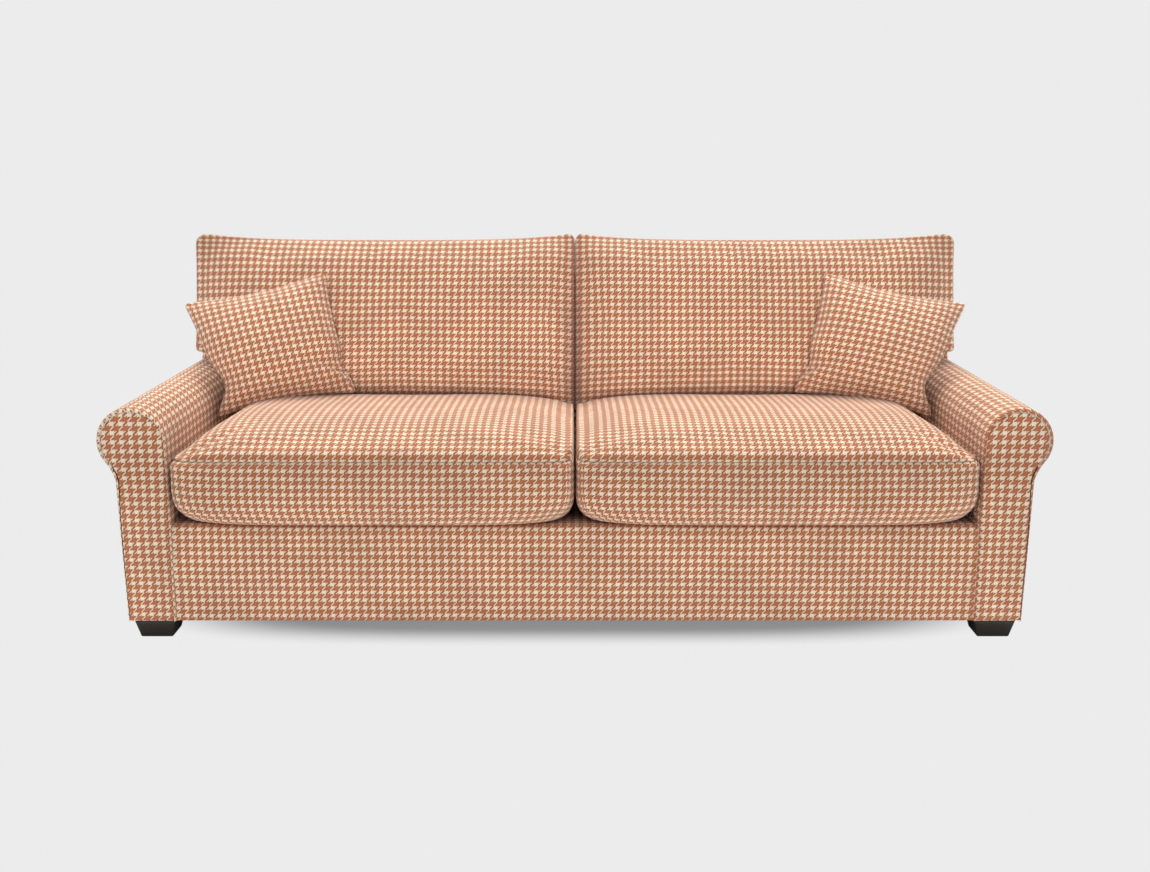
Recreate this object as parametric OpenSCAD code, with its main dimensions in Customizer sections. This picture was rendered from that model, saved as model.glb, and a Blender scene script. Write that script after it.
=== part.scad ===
// Four-seater sofa with roll arms, loose seat, back and scatter cushions.
// Millimetres. X runs along the sofa, Y to its back, Z up; the origin is on the floor under its middle.
// "Left" is -X, as seen from the front. Each side is drawn at +X and mirrored for the left.

/* [Overall] */
// Clear width between the inner faces of the arms
seat_w = 2052; // [1700:4:2400]
// Depth from the arm fronts to the outside of the back
body_d = 965; // [920:5:1060]
// Height of the underside above the floor
base_z = 48; // [40:1:90]
// Thickness of the cover cloth
cover_t = 2; // [1.5:0.5:3]

/* [Arms] */
// Thickness of an arm below its roll
arm_t = 125; // [116:1:150]
// Radius of the arm roll
roll_r = 87; // [80:1:100]
// Height of the middle of the arm roll
roll_z = 519; // [490:1:560]
// Thickness of the padding on the roll and the inner face
arm_pad_t = 14; // [10:1:18]
// Thickness of the bent lining board in the arm
lining_t = 3; // [2:0.5:5]
// Thickness of the padding in front of the arm's front board
arm_front_pad_t = 14; // [10:1:18]
// Thickness of the arm's front board
front_board_t = 22; // [18:1:28]
// Width of the rail inside the arm roll
arm_rail_w = 60; // [40:1:70]
// Height of the rail inside the arm roll
arm_rail_h = 40; // [25:1:45]

/* [Base and deck] */
// How far the base front lies behind the arm fronts
base_recess = 8; // [4:1:16]
// Thickness of the padding on the base front
edge_pad_t = 6; // [4:1:10]
// Height of the front of the deck
deck_front_z = 302; // [285:1:330]
// Slope of the deck, down to the back
rake = 3; // [2:0.5:5]
// Thickness of the deck pad
deck_pad_t = 10; // [8:1:16]
// Thickness of the seat spring wire
wire_t = 4; // [3:0.5:5]
// Half the width of a seat spring's loops
spring_amp = 22; // [15:1:28]
// Number of seat springs in each half
springs = 7; // [5:1:8]
// Number of full waves in a seat spring
spring_waves = 6; // [4:1:7]
// Thickness of the frame rails
rail_t = 30; // [24:1:36]
// Height of the side rails
side_rail_h = 140; // [100:5:170]
// Width of the centre rail
centre_rail_w = 44; // [36:1:60]
// Height of the centre rail
centre_rail_h = 60; // [50:1:90]
// Height of the rear bottom rail
bottom_rail_h = 45; // [40:1:70]
// Height of the corner blocks
block_h = 40; // [34:1:50]
// Width of the corner blocks
block_w = 60; // [54:1:68]
// Length of the front corner blocks
block_l = 84; // [78:1:110]

/* [Back] */
// Height of the back frame with its covers
back_z = 860; // [820:5:900]
// Thickness of the back at the deck
back_t = 182; // [170:1:200]
// Lean of the inside back from upright
lean = 10; // [8:0.5:12]
// Thickness of the padding on the inside back
back_pad_t = 16; // [10:1:22]
// Thickness of the padding on top of the back
top_pad_t = 12; // [8:1:20]
// Thickness of the webbing straps
strap_t = 2; // [1.5:0.5:3]
// Width of the webbing straps
strap_w = 50; // [30:5:70]
// Number of webbing straps in each half
straps = 5; // [3:1:6]
// Width of the side posts
post_w = 45; // [36:1:55]
// Width of the centre post
centre_post_w = 44; // [30:1:60]
// Depth of the centre post
centre_post_d = 45; // [30:1:50]
// Height of the back's rails
back_rail_h = 45; // [35:1:55]
// Height of the underside of the back's lower rail above the deck there
low_rail_gap = 38; // [25:1:60]

/* [Feet] */
// Width of a foot at its top
foot_top_w = 105; // [96:1:108]
// Width of a foot at its bottom
foot_bottom_w = 82; // [60:1:90]
// From the arm's inner face to the middle of a foot
foot_inset_x = 55.5; // [54:0.5:60]
// From the front or back of the sofa to the middle of a foot
foot_inset_y = 56; // [54:0.5:60]
// Radius of the support foot under the middle
support_r = 25; // [20:1:40]
// Thickness of a glide
glide_t = 2; // [1:0.5:4]
// Radius of a glide
glide_r = 12; // [8:1:20]
// Radius of the hanger bolts
bolt_r = 4; // [3:0.5:5]
// Depth of a hanger bolt in its foot
bolt_in_foot = 28; // [15:1:32]
// Radius of a T-nut's flange
nut_flange_r = 11; // [9.5:0.5:14]
// Radius of the corner block screws
screw_r = 2.2; // [1.8:0.2:2.6]
// Radius of the corner block screws' heads
screw_head_r = 4.4; // [3.6:0.2:5]

/* [Seat cushions] */
// How far the seat cushions stand in front of the arms
seat_bow = 35; // [20:1:50]
// Gap between the two seat cushions
seat_gap = 3; // [1:0.5:8]
// Gap between a seat cushion and the arm
seat_side_gap = 4; // [2:0.5:10]
// Gap between a seat cushion and the inside back
seat_rear_gap = 4; // [2:0.5:10]
// Height of a seat cushion's top seam above the deck
seat_seam_t = 168; // [140:1:190]
// Height of a seat cushion's crown above its top seam
seat_crown = 90; // [50:1:100]

/* [Back cushions] */
// Gap between the two back cushions
back_gap = 3; // [1:0.5:8]
// Height of a back cushion from its lower to its upper corners
back_cushion_h = 514; // [500:1:560]
// How far the top edge of a back cushion dips between its corners
back_top_dip = 17; // [8:1:24]
// How far the bottom edge of a back cushion rises between its corners
back_bottom_rise = 26; // [16:1:34]
// Thickness of a back cushion at its front seam
back_seam_t = 105; // [85:1:120]
// Height of a back cushion's crown above its front seam
back_crown = 110; // [80:1:120]
// How far a back cushion's wing reaches out over the arm
wing_w = 119; // [80:1:124]
// Height of the wing above the arm
wing_gap = 10; // [6:1:30]

/* [Scatter cushions] */
// Height of a scatter cushion's front crown
scatter_front = 92; // [60:1:100]
// Height of a scatter cushion's rear crown
scatter_rear = 26; // [18:1:30]
// How far a scatter cushion's sides draw in
scatter_draw = 20; // [16:1:30]
// How far the arm pushes in a scatter cushion's outer side
scatter_push = 34; // [0:1:40]

/* [Hidden] */

// Clearance between soft pieces that nearly touch
soft_gap = 0.3;
// Clearance round bolts and screws
fit_gap = 0.1;
// Overshoot of cutting shapes
over = 1;
cloth = "#c98a66";
cream = "#ead9c2";
timber = "#c9a36b";
foam = "#efe6c8";
dark_wood = "#251d18";
steel = "#9aa0a6";
black_cloth = "#222222";

// Main planes
x_in = seat_w / 2;
x_out = x_in + arm_t;
x_wood = x_out - cover_t;
x_lined = x_in + cover_t + arm_pad_t + lining_t;
roll_x = x_in + roll_r;
y_back = (body_d + seat_bow) / 2;
y_front = y_back - body_d;
y_rear = y_back - cover_t;
y_board = y_front + cover_t + arm_front_pad_t;
y_board_rear = y_board + front_board_t;
y_base = y_front + base_recess;
y_rail = y_base + cover_t + edge_pad_t;
wood_z = base_z + cover_t;

// The deck: its rails end at a raked plane through the middle of the rounded front edge
edge_r = cover_t + deck_pad_t + wire_t;
y_edge = y_base + edge_r;
z_edge = deck_front_z - edge_r;
function rail_top(y) = z_edge - (y - y_edge) * tan(rake);
function deck_z(y) = rail_top(y) + edge_r / cos(rake);

// The inside back: a leaning plane that starts at the deck
y_inside = y_back - back_t;
z_inside = deck_z(y_inside);
function lean_y(z, depth) = y_inside + (z - z_inside) * tan(lean) + depth / cos(lean);
pad_depth = cover_t + back_pad_t;
wood_depth = pad_depth + strap_t;
y_post = lean_y(z_inside, wood_depth);
z_post = back_z - cover_t - top_pad_t - back_rail_h;
z_low_rail = z_inside + low_rail_gap;
strap_inset = 8;
x_post = x_wood - post_w;
y_rear_rail = y_post + rail_t;
deck_l = (y_inside - y_edge) / cos(rake) - edge_r * tan(lean - rake) - soft_gap;

// Feet and their bolts
foot_x = x_in + foot_inset_x;
foot_y = [y_front + foot_inset_y, y_back - foot_inset_y];
support_y = (y_rail + y_rear_rail) / 2;
nut_barrel_r = bolt_r + 1.5;
nut_barrel_h = 12;
nut_flange_t = 1.5;
bolt_bottom = base_z - bolt_in_foot;
screw_l = 80;
screw_head_l = 3;
screw_from_bolt = 26;
screw_pitch = 16;
x_side_rail = x_wood - rail_t;
block_top = wood_z + block_h;

// Extrudes a profile drawn in X and Z from y0 to y1
module along_y(y0, y1) {
    translate([0, y1, 0]) rotate([90, 0, 0]) linear_extrude(y1 - y0) children();
}

// Extrudes a profile drawn in Y and Z from x0 to x1
module along_x(x0, x1) {
    translate([x0, 0, 0]) rotate([90, 0, 90]) linear_extrude(x1 - x0) children();
}

// Draws in the deck's own axes: Y runs back along the deck, Z stands square to it
module on_deck() {
    translate([0, y_edge, z_edge]) rotate([-rake, 0, 0]) children();
}

// Draws in the inside back's own axes: Z runs up the back, -Y stands out from it
module on_back() {
    translate([0, y_inside, z_inside]) rotate([-lean, 0, 0]) children();
}

module left() {
    mirror([1, 0, 0]) children();
}

module both() {
    children();
    left() children();
}

// Feet

// A block that tapers on four sides to its bottom
module foot(y) {
    slope = (foot_top_w - foot_bottom_w) / 2;
    h = base_z - glide_t;
    color(dark_wood) translate([foot_x, y, 0]) difference() {
        translate([-foot_top_w / 2, -foot_top_w / 2, glide_t]) cube([foot_top_w, foot_top_w, h]);
        for (turn = [0:90:270]) rotate([0, 0, turn]) along_x(-foot_top_w, foot_top_w)
            polygon([[-foot_top_w / 2, base_z], [-foot_top_w, base_z], [-foot_top_w, glide_t - over],
                [-foot_top_w / 2 + slope * (1 + over / h), glide_t - over]]);
        translate([0, 0, bolt_bottom]) cylinder(r = bolt_r + fit_gap, h = base_z, $fn = 32);
    }
}

module support_foot() {
    color(dark_wood) translate([0, support_y, 0]) difference() {
        translate([0, 0, glide_t]) cylinder(r = support_r, h = base_z - glide_t, $fn = 48);
        translate([0, 0, bolt_bottom]) cylinder(r = bolt_r + fit_gap, h = base_z, $fn = 32);
    }
}

// Places a child at each foot
module at_feet() {
    both() for (y = foot_y) translate([foot_x, y, 0]) children();
    translate([0, support_y, 0]) children();
}

module foot_glides() {
    color("dimgray") at_feet() cylinder(r = glide_r, h = glide_t, $fn = 32);
}

module hanger_bolt(top) {
    translate([0, 0, bolt_bottom]) cylinder(r = bolt_r, h = top - bolt_bottom, $fn = 32);
}

module hanger_bolts() {
    color(steel) {
        both() for (y = foot_y) translate([foot_x, y, 0]) hanger_bolt(block_top);
        translate([0, support_y, 0]) hanger_bolt(wood_z + centre_rail_h);
    }
}

module t_nut(top) {
    translate([0, 0, top]) difference() {
        union() {
            translate([0, 0, -nut_barrel_h]) cylinder(r = nut_barrel_r, h = nut_barrel_h, $fn = 32);
            cylinder(r = nut_flange_r, h = nut_flange_t, $fn = 48);
        }
        translate([0, 0, -nut_barrel_h - over])
            cylinder(r = bolt_r + fit_gap, h = nut_barrel_h + nut_flange_t + 2 * over, $fn = 32);
    }
}

module t_nuts() {
    color(steel) {
        both() for (y = foot_y) translate([foot_x, y, 0]) t_nut(block_top);
        translate([0, support_y, 0]) t_nut(wood_z + centre_rail_h);
    }
}

// The hole for a hanger bolt and its T-nut in a block that ends at height top
module bolt_hole(top) {
    cylinder(r = bolt_r + 2 * fit_gap, h = top + over, $fn = 32);
    translate([0, 0, top - nut_barrel_h - fit_gap])
        cylinder(r = nut_barrel_r + fit_gap, h = nut_barrel_h + 2 * over, $fn = 32);
}

// Seat frame

module rail_profile(y0, y1, z0) {
    polygon([[y0, z0], [y1, z0], [y1, rail_top(y1)], [y0, rail_top(y0)]]);
}

module front_seat_rail() {
    color(timber) along_x(-x_lined, x_lined) rail_profile(y_rail, y_rail + rail_t, wood_z);
}

module rear_seat_rail() {
    color(timber) along_x(-x_post, x_post) rail_profile(y_post, y_rear_rail, wood_z);
}

module side_rail() {
    color(timber) difference() {
        translate([x_side_rail, y_board_rear, wood_z])
            cube([rail_t, y_post - y_board_rear, side_rail_h]);
        front_screws(fit_gap);
    }
}

module centre_seat_rail() {
    y0 = y_rail + rail_t;
    color(timber) difference() {
        translate([-centre_rail_w / 2, y0, wood_z])
            cube([centre_rail_w, y_post - y0, centre_rail_h]);
        translate([0, support_y, 0]) bolt_hole(wood_z + centre_rail_h);
    }
}

module rear_bottom_rail() {
    color(timber) translate([-x_post, y_rear - rail_t, wood_z])
        cube([2 * x_post, rail_t, bottom_rail_h]);
}

// Corner blocks: the front ones stand against the side rails, the rear ones against the posts
module corner_blocks() {
    rear_l = y_rear - rail_t - y_rear_rail;
    color(timber) both() difference() {
        union() {
            translate([x_side_rail - block_w, y_board_rear, wood_z]) cube([block_w, block_l, block_h]);
            translate([x_post - block_w, y_rear_rail, wood_z]) cube([block_w, rear_l, block_h]);
        }
        for (y = foot_y) translate([foot_x, y, 0]) bolt_hole(block_top);
        front_screws(fit_gap);
        rear_screws(fit_gap);
    }
}

// A screw along +X whose head starts at the origin
module screw(gap) {
    rotate([0, 90, 0]) {
        translate([0, 0, -over * (gap > 0 ? 1 : 0)])
            cylinder(r = screw_head_r + gap, h = screw_head_l + gap + over * (gap > 0 ? 1 : 0), $fn = 24);
        cylinder(r = screw_r + gap, h = screw_l + gap, $fn = 24);
    }
}

module front_screws(gap) {
    for (i = [0:1]) translate([x_side_rail - block_w, foot_y[0] + screw_from_bolt + screw_pitch * i,
        wood_z + block_h / 2]) screw(gap);
}

module rear_screws(gap) {
    for (i = [0:1]) translate([x_post - block_w, foot_y[1] - screw_from_bolt - screw_pitch * i,
        wood_z + block_h / 2]) screw(gap);
}

module block_screws() {
    color(steel) both() {
        front_screws(0);
        rear_screws(0);
    }
}

// Springing

spring_pitch = (x_in - centre_rail_w / 2) / springs;
spring_tail = 14;
spring_start = 10;
spring_end = (y_rear_rail - y_edge) / cos(rake) - 12;
clip_grip = 8;
clip_hook = 3;
function spring_x(i) = centre_rail_w / 2 + spring_pitch * (i + 0.5);

// A point of a spring's wire, side = 1 or -1 of its middle line, at share k of its waves
function wave_point(k, side) =
    let (turn = 360 * spring_waves * k, run = spring_end - spring_start - 2 * spring_tail,
        slope = spring_amp * cos(turn) * 2 * PI * spring_waves / run, n = sqrt(1 + slope * slope))
    [spring_amp * sin(turn) + side * wire_t / 2 / n,
        spring_start + spring_tail + run * k - side * wire_t / 2 * slope / n];

module seat_spring(x) {
    count = 8 * spring_waves;
    right = [for (i = [1:count - 1]) wave_point(i / count, 1)];
    left = [for (i = [count - 1:-1:1]) wave_point(i / count, -1)];
    half = wire_t / 2;
    translate([x, 0, 0]) linear_extrude(wire_t)
        polygon(concat([[-half, spring_start], [half, spring_start],
            [half, spring_start + spring_tail - half]], right, [[half, spring_end - spring_tail + half],
            [half, spring_end], [-half, spring_end], [-half, spring_end - spring_tail + half]], left,
            [[-half, spring_start + spring_tail - half]]));
}

module seat_springs() {
    color(steel) both() on_deck() for (i = [0:springs - 1]) seat_spring(spring_x(i));
}

// A clip that holds the end of a spring on its rail; dir points to the spring's middle
module clip(x, s, dir) {
    translate([x, s, 0]) difference() {
        translate([-clip_grip, dir > 0 ? -clip_hook : -clip_grip, 0])
            cube([2 * clip_grip, clip_grip + clip_hook, wire_t - soft_gap]);
        translate([-wire_t / 2 - fit_gap, dir > 0 ? -fit_gap : -clip_grip - over, -over])
            cube([wire_t + 2 * fit_gap, clip_grip + over + fit_gap, wire_t + 2 * over]);
    }
}

module spring_clips() {
    color("dimgray") both() on_deck() for (i = [0:springs - 1]) {
        clip(spring_x(i), spring_start, 1);
        clip(spring_x(i), spring_end, -1);
    }
}

// Deck and base front

module deck_pad() {
    color(foam) on_deck() translate([-x_in, 0, wire_t]) cube([2 * x_in, deck_l, deck_pad_t]);
}

module deck_cloth() {
    color(cloth) on_deck() translate([-x_in, 0, edge_r - cover_t]) cube([2 * x_in, deck_l, cover_t]);
}

// The rounded front edge, drawn in Y and Z: a front strip and a rounded corner of radius r
module edge_profile(r, z0) {
    translate([y_edge - r, z0]) square([r, z_edge - z0]);
    intersection() {
        translate([y_edge, z_edge]) circle(r = r, $fn = 64);
        translate([y_edge, z_edge])
            polygon([[0, 0], [-2 * r, 0], [-2 * r, 2 * r], [2 * r * sin(rake), 2 * r * cos(rake)]]);
    }
}

module front_edge_roll() {
    color(foam) difference() {
        along_x(-x_in, x_in) edge_profile(edge_r - cover_t, wood_z);
        along_x(-x_in - over, x_in + over) rail_profile(y_rail, y_edge + rail_t, wood_z - over);
    }
}

module base_front_cover() {
    color(cloth) difference() {
        along_x(-x_in, x_in) edge_profile(edge_r, base_z);
        along_x(-x_in - over, x_in + over) edge_profile(edge_r - cover_t, base_z - over);
    }
}

module dust_cover() {
    color(black_cloth) difference() {
        translate([-x_wood, y_rail, base_z]) cube([2 * x_wood, y_rear - y_rail, cover_t]);
        at_feet() cylinder(r = bolt_r + over, h = wood_z + over, $fn = 32);
    }
}

// Arms

// The arm's front outline, drawn in X and Z, drawn in by d on the roll and the inner face
module arm_outline(d, x1, z0) {
    translate([roll_x, roll_z]) circle(r = roll_r - d, $fn = 128);
    translate([x_in + d, z0]) square([x1 - x_in - d, roll_z - z0]);
}

// A layer of the arm between d0 and d1 from its surface: over the roll and down the inner face
module arm_layer(d0, d1, y0, y1, z0) {
    difference() {
        along_y(y0, y1) difference() {
            arm_outline(d0, x_in + d1, z0);
            translate([roll_x, roll_z]) circle(r = roll_r - d1, $fn = 128);
            translate([x_in + d1, 0]) square([x_wood - x_in - d1, roll_z]);
        }
        below_deck(x_in - over, x_lined);
        post_slot();
        along_x(x_in - over, x_post) low_rail_profile(soft_gap);
    }
}

// What the seat rails fill below the deck, behind the arm's front
module below_deck(x0, x1) {
    y0 = min(y_rail, y_board);
    y1 = y_back + over;
    along_x(x0, x1) polygon([[y0, -over], [y1, -over], [y1, rail_top(y1)], [y0, rail_top(y0)]]);
}

module post_slot() {
    along_x(x_post - soft_gap, x_wood + soft_gap) polygon([[y_post - soft_gap, wood_z - over],
        [y_post - soft_gap, z_inside], [lean_y(back_z, wood_depth) - soft_gap, back_z],
        [y_back + over, back_z], [y_back + over, wood_z - over]]);
}

module arm_front_board() {
    d = x_lined - x_in;
    color(timber) along_y(y_board, y_board_rear) arm_outline(d, x_wood, wood_z);
}

module arm_top_rail() {
    y1 = lean_y(roll_z, wood_depth);
    color(timber) translate([roll_x - arm_rail_w / 2, y_board_rear, roll_z])
        cube([arm_rail_w, y1 - y_board_rear, arm_rail_h]);
}

module arm_lining() {
    color("tan") arm_layer(cover_t + arm_pad_t, x_lined - x_in, y_board, y_rear, wood_z);
}

module arm_padding() {
    color(foam) {
        arm_layer(cover_t, cover_t + arm_pad_t, y_board, y_rear, wood_z);
        along_y(y_front + cover_t, y_board) arm_outline(cover_t, x_wood, wood_z);
    }
}

module inside_arm_cover() {
    color(cloth) arm_layer(0, cover_t, y_front, y_rear, base_z);
}

module outside_arm_cover() {
    reach = x_wood - roll_x;
    top = roll_z - sqrt(roll_r * roll_r - reach * reach) - soft_gap;
    color(cloth) translate([x_wood, y_front, base_z]) cube([cover_t, y_rear - y_front, top - base_z]);
}

module arm_facing() {
    color(cream) along_y(y_front, y_front + cover_t) arm_outline(cover_t, x_wood, base_z);
}

// Back frame

module post_profile() {
    polygon([[y_post, wood_z], [y_post, z_inside], [lean_y(z_post, wood_depth), z_post],
        [y_rear, z_post], [y_rear, wood_z]]);
}

module back_post() {
    color(timber) difference() {
        along_x(x_post, x_wood) post_profile();
        rear_screws(fit_gap);
    }
}

// The lower rail's side profile, grown by g
module low_rail_profile(g) {
    z1 = z_low_rail + back_rail_h;
    y0 = lean_y(z_low_rail, wood_depth);
    y1 = lean_y(z1, wood_depth);
    offset(delta = g)
        polygon([[y0, z_low_rail], [y0 + rail_t, z_low_rail], [y1 + rail_t, z1], [y1, z1]]);
}

module back_lower_rail() {
    color(timber) along_x(-x_post, x_post) low_rail_profile(0);
}

module centre_back_post() {
    z0 = z_low_rail + back_rail_h;
    y0 = lean_y(z0, wood_depth);
    y1 = lean_y(z_post, wood_depth);
    color(timber) along_x(-centre_post_w / 2, centre_post_w / 2)
        polygon([[y0, z0], [y0 + centre_post_d, z0], [y1 + centre_post_d, z_post], [y1, z_post]]);
}

module back_top_rail() {
    z1 = z_post + back_rail_h;
    color(timber) along_x(-x_wood, x_wood)
        polygon([[lean_y(z_post, wood_depth), z_post], [lean_y(z1, wood_depth), z1],
            [y_rear, z1], [y_rear, z_post]]);
}

module back_webbing() {
    v0 = (z_low_rail + strap_inset - z_inside) / cos(lean);
    v1 = (z_post + back_rail_h - strap_inset - z_inside) / cos(lean);
    pitch = x_in / straps;
    color("tan") both() on_back() for (i = [0:straps - 1])
        translate([pitch * (i + 0.5) - strap_w / 2, pad_depth, v0]) cube([strap_w, strap_t, v1 - v0]);
}

// The back's side profile, from depth d behind its front and top, down to the springs
module back_profile(d, top) {
    z0 = z_inside - 2 * edge_r;
    difference() {
        polygon([[lean_y(z0, d), z0], [lean_y(top, d), top], [y_rear, top], [y_rear, z0]]);
        polygon([[0, -over], [y_back + over, -over],
            [y_back + over, rail_top(y_back + over) + wire_t + soft_gap],
            [0, rail_top(0) + wire_t + soft_gap]]);
    }
}

// What the arms fill, with a little room round it
module arm_room() {
    both() along_y(-y_back, y_back + over) {
        translate([roll_x, roll_z]) circle(r = roll_r + soft_gap, $fn = 128);
        translate([x_in, -over]) square([2 * roll_r, roll_z + over]);
    }
}

module back_padding() {
    color(foam) difference() {
        along_x(-x_wood, x_wood) difference() {
            back_profile(cover_t, back_z - cover_t);
            back_profile(pad_depth, back_z - cover_t - top_pad_t);
        }
        arm_room();
    }
}

module inside_back_cover() {
    color(cloth) difference() {
        union() {
            along_x(-x_wood, x_wood) difference() {
                back_profile(0, back_z);
                back_profile(cover_t, back_z - cover_t);
            }
            both() along_x(x_wood, x_out) back_profile(0, back_z);
        }
        arm_room();
    }
}

module outside_back_cover() {
    color(cloth) along_y(y_rear, y_back) {
        translate([-x_out, base_z]) square([2 * x_out, back_z - base_z]);
        for (side = [-1, 1]) translate([side * roll_x, roll_z]) circle(r = roll_r, $fn = 128);
    }
}

// Loose cushions: each is a stack of rings, closed by a point at both ends

// The edge of a square from -1 to 1, with m points on each side
function square_edge(m) = [for (side = [0:3], i = [0:m - 1])
    let (k = 2 * i / m - 1)
    side == 0 ? [k, -1] : side == 1 ? [1, k] : side == 2 ? [-k, 1] : [-1, -k]];

// How far a direction reaches to a rounded square of exponent n
function reach(p, n) = 1 / pow(pow(abs(p[0]), n) + pow(abs(p[1]), n), 1 / n);

function ring_faces(k, n) = [for (j = [0:n - 1])
    let (a = 1 + k * n + j, b = 1 + k * n + (j + 1) % n)
    each [[a, a + n, b + n], [a, b + n, b]]];

// A closed body from rings of n points each, and its two end points
module stack(start, rings, end) {
    n = len(rings[0]);
    count = len(rings);
    last = 1 + (count - 1) * n;
    polyhedron(
        points = concat([start], [for (ring = rings) each ring], [end]),
        faces = concat(
            [for (j = [0:n - 1]) [0, 1 + j, 1 + (j + 1) % n]],
            [for (k = [0:count - 2]) each ring_faces(k, n)],
            [for (j = [0:n - 1]) [count * n + 1, last + (j + 1) % n, last + j]]),
        convexity = 4);
}

// The lining of a cover is wall thick, and a core lies core_gap inside it
wall = 6;
core_gap = 0.5;

// Seat cushions, in the deck's axes

seat_a = (x_in - seat_side_gap - seat_gap / 2) / 2;
seat_x = seat_gap / 2 + seat_a;
seat_front_s = (-y_back - y_edge - (edge_r + 60) * sin(rake)) / cos(rake);
seat_rear_s = (y_inside - seat_rear_gap - y_edge - edge_r * sin(rake)) / cos(rake);
seat_b = (seat_rear_s - seat_front_s) / 2;
seat_s = (seat_rear_s + seat_front_s) / 2;
seat_seam_in = 12;
seat_top_a = seat_a - seat_seam_in;
seat_top_b = seat_b - seat_seam_in;

// Border rings: height above the deck, distance drawn in, exponent of the corner
seat_border = [[0, 46, 5], [8, 20, 7], [30, 6, 10], [60, 0, 16], [seat_seam_t * 0.75, 1, 20],
    [seat_seam_t - 5, 8, 20], [seat_seam_t, seat_seam_in, 20]];
seat_crown_rings = [0.97, 0.9, 0.8, 0.64, 0.42];
crown_corner = 12;
crown_arm_p = 7;
crown_gap_p = 16;
crown_front_p = 3;
crown_rear_p = 6;

function seat_ring(edge, t, d, n) = [for (p = edge) let (k = reach(p, n))
    [(seat_a - d) * p[0] * k, (seat_b - d) * p[1] * k, t]];

// Height of the top above the bottom at u, v from -1 to 1: it falls at the sides, front and rear
function seat_crown_t(u, v) = seat_seam_t + seat_crown
    * (1 - pow(abs(u), u > 0 ? crown_arm_p : crown_gap_p))
    * (1 - pow(abs(v), v < 0 ? crown_front_p : crown_rear_p));

// A seat cushion that is drawn in by d all round
module seat_body(d, m, border, crown) {
    edge = square_edge(m);
    stack([0, 0, d],
        concat(
            [for (row = border) seat_ring(edge, max(row[0], d) - (row[0] > d ? min(d, 2) : 0),
                row[1] + d, row[2])],
            [for (rho = crown) [for (p = edge) let (k = rho * reach(p, crown_corner), u = k * p[0],
                v = k * p[1]) [(seat_top_a - d) * u, (seat_top_b - d) * v, seat_crown_t(u, v) - d]]]),
        [0, 0, seat_crown_t(0, 0) - d]);
}

module at_seat() {
    on_deck() translate([seat_x, seat_s, edge_r + soft_gap]) children();
}

// Height of the top of a seat cushion at x, y: its crown, above the raked deck
function seat_top_t(x, s) = let (u = (x - seat_x) / seat_top_a, v = (s - seat_s) / seat_top_b)
    edge_r + soft_gap + (max(abs(u), abs(v)) < 1 ? seat_crown_t(u, v) : 0);
function seat_top(x, y) =
    let (t0 = edge_r + seat_seam_t + seat_crown, s0 = (y - y_edge - t0 * sin(rake)) / cos(rake),
        t1 = seat_top_t(x, s0), s1 = (y - y_edge - t1 * sin(rake)) / cos(rake), t2 = seat_top_t(x, s1))
    z_edge - s1 * sin(rake) + t2 * cos(rake);

zip_l = 640;
zip_h = 22;
zip_t = 2.5;
zip_z = seat_seam_t / 2;

// The pocket for the zip in the rear border, grown by gap
module zip_strip(gap) {
    translate([-zip_l / 2 - gap, seat_b - 3 - zip_t, zip_z - zip_h / 2 - gap])
        cube([zip_l + 2 * gap, gap > 0 ? 20 : zip_t, zip_h + 2 * gap]);
}

inner_border = [seat_border[0], seat_border[3], seat_border[6]];
inner_crown = [0.9, 0.7, 0.4];

module seat_cover() {
    color(cloth) at_seat() difference() {
        seat_body(0, 10, seat_border, seat_crown_rings);
        seat_body(wall, 6, inner_border, inner_crown);
        zip_strip(soft_gap);
    }
}

module seat_core() {
    color(foam) at_seat() seat_body(wall + core_gap, 6, inner_border, inner_crown);
}

module seat_zip() {
    color("dimgray") at_seat() zip_strip(0);
}

// Back cushions, in the inside back's axes: x, height up the back, distance out from it

roll_top = roll_z + roll_r;
wing_v = (roll_top + wing_gap - z_inside) / cos(lean);
back_x0 = back_gap / 2;
back_x1 = x_in - seat_side_gap;
back_x2 = back_x1 + wing_w;
back_corner = 34;

// Outline from the lower inner corner: x, height, corner radius, points on the next side, draw-in
function back_outline(v0) = [
    [back_x0, v0, back_corner, 7, back_bottom_rise],
    [back_x1, v0, back_corner, 2, 0],
    [back_x1, wing_v, 6, 1, 0],
    [back_x2 + 3, wing_v + 4, back_corner, 3, 2],
    [back_x2, v0 + back_cushion_h, back_corner, 7, back_top_dip],
    [back_x0, v0 + back_cushion_h, back_corner, 5, 2]];

function mix(a, b, k) = a + (b - a) * k;
function toward(a, b, d) = a + (b - a) * min(0.45, d / norm(b - a));
function at(p) = [p[0], p[1]];

// A rounded outline: each corner is a curve of 3 points, each side is bowed in
function rounded(pts) = [for (i = [0:len(pts) - 1])
    let (n = len(pts), p = at(pts[i]), q = at(pts[(i + 1) % n]), o = at(pts[(i + n - 1) % n]),
        a = toward(p, o, pts[i][2]), b = toward(p, q, pts[i][2]),
        c = toward(q, p, pts[(i + 1) % n][2]), side = (q - p) / norm(q - p), steps = pts[i][3])
    each concat([a, (a + 2 * p + b) / 4, b],
        [for (j = [1:steps]) let (k = j / (steps + 1))
            mix(b, c, k) + (1 - pow(2 * k - 1, 4)) * pts[i][4] * [-side[1], side[0]]])];

function back_middle(v0) = [mix(back_x0, back_x1, 0.5), v0 + back_cushion_h / 2];

// Thickness at share rho of the way out and height q from -1 to 1: fuller below the middle
function back_front(rho, q) = back_seam_t + back_crown * (1 - 0.3 * q) * (1 - pow(rho, 3));

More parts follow.
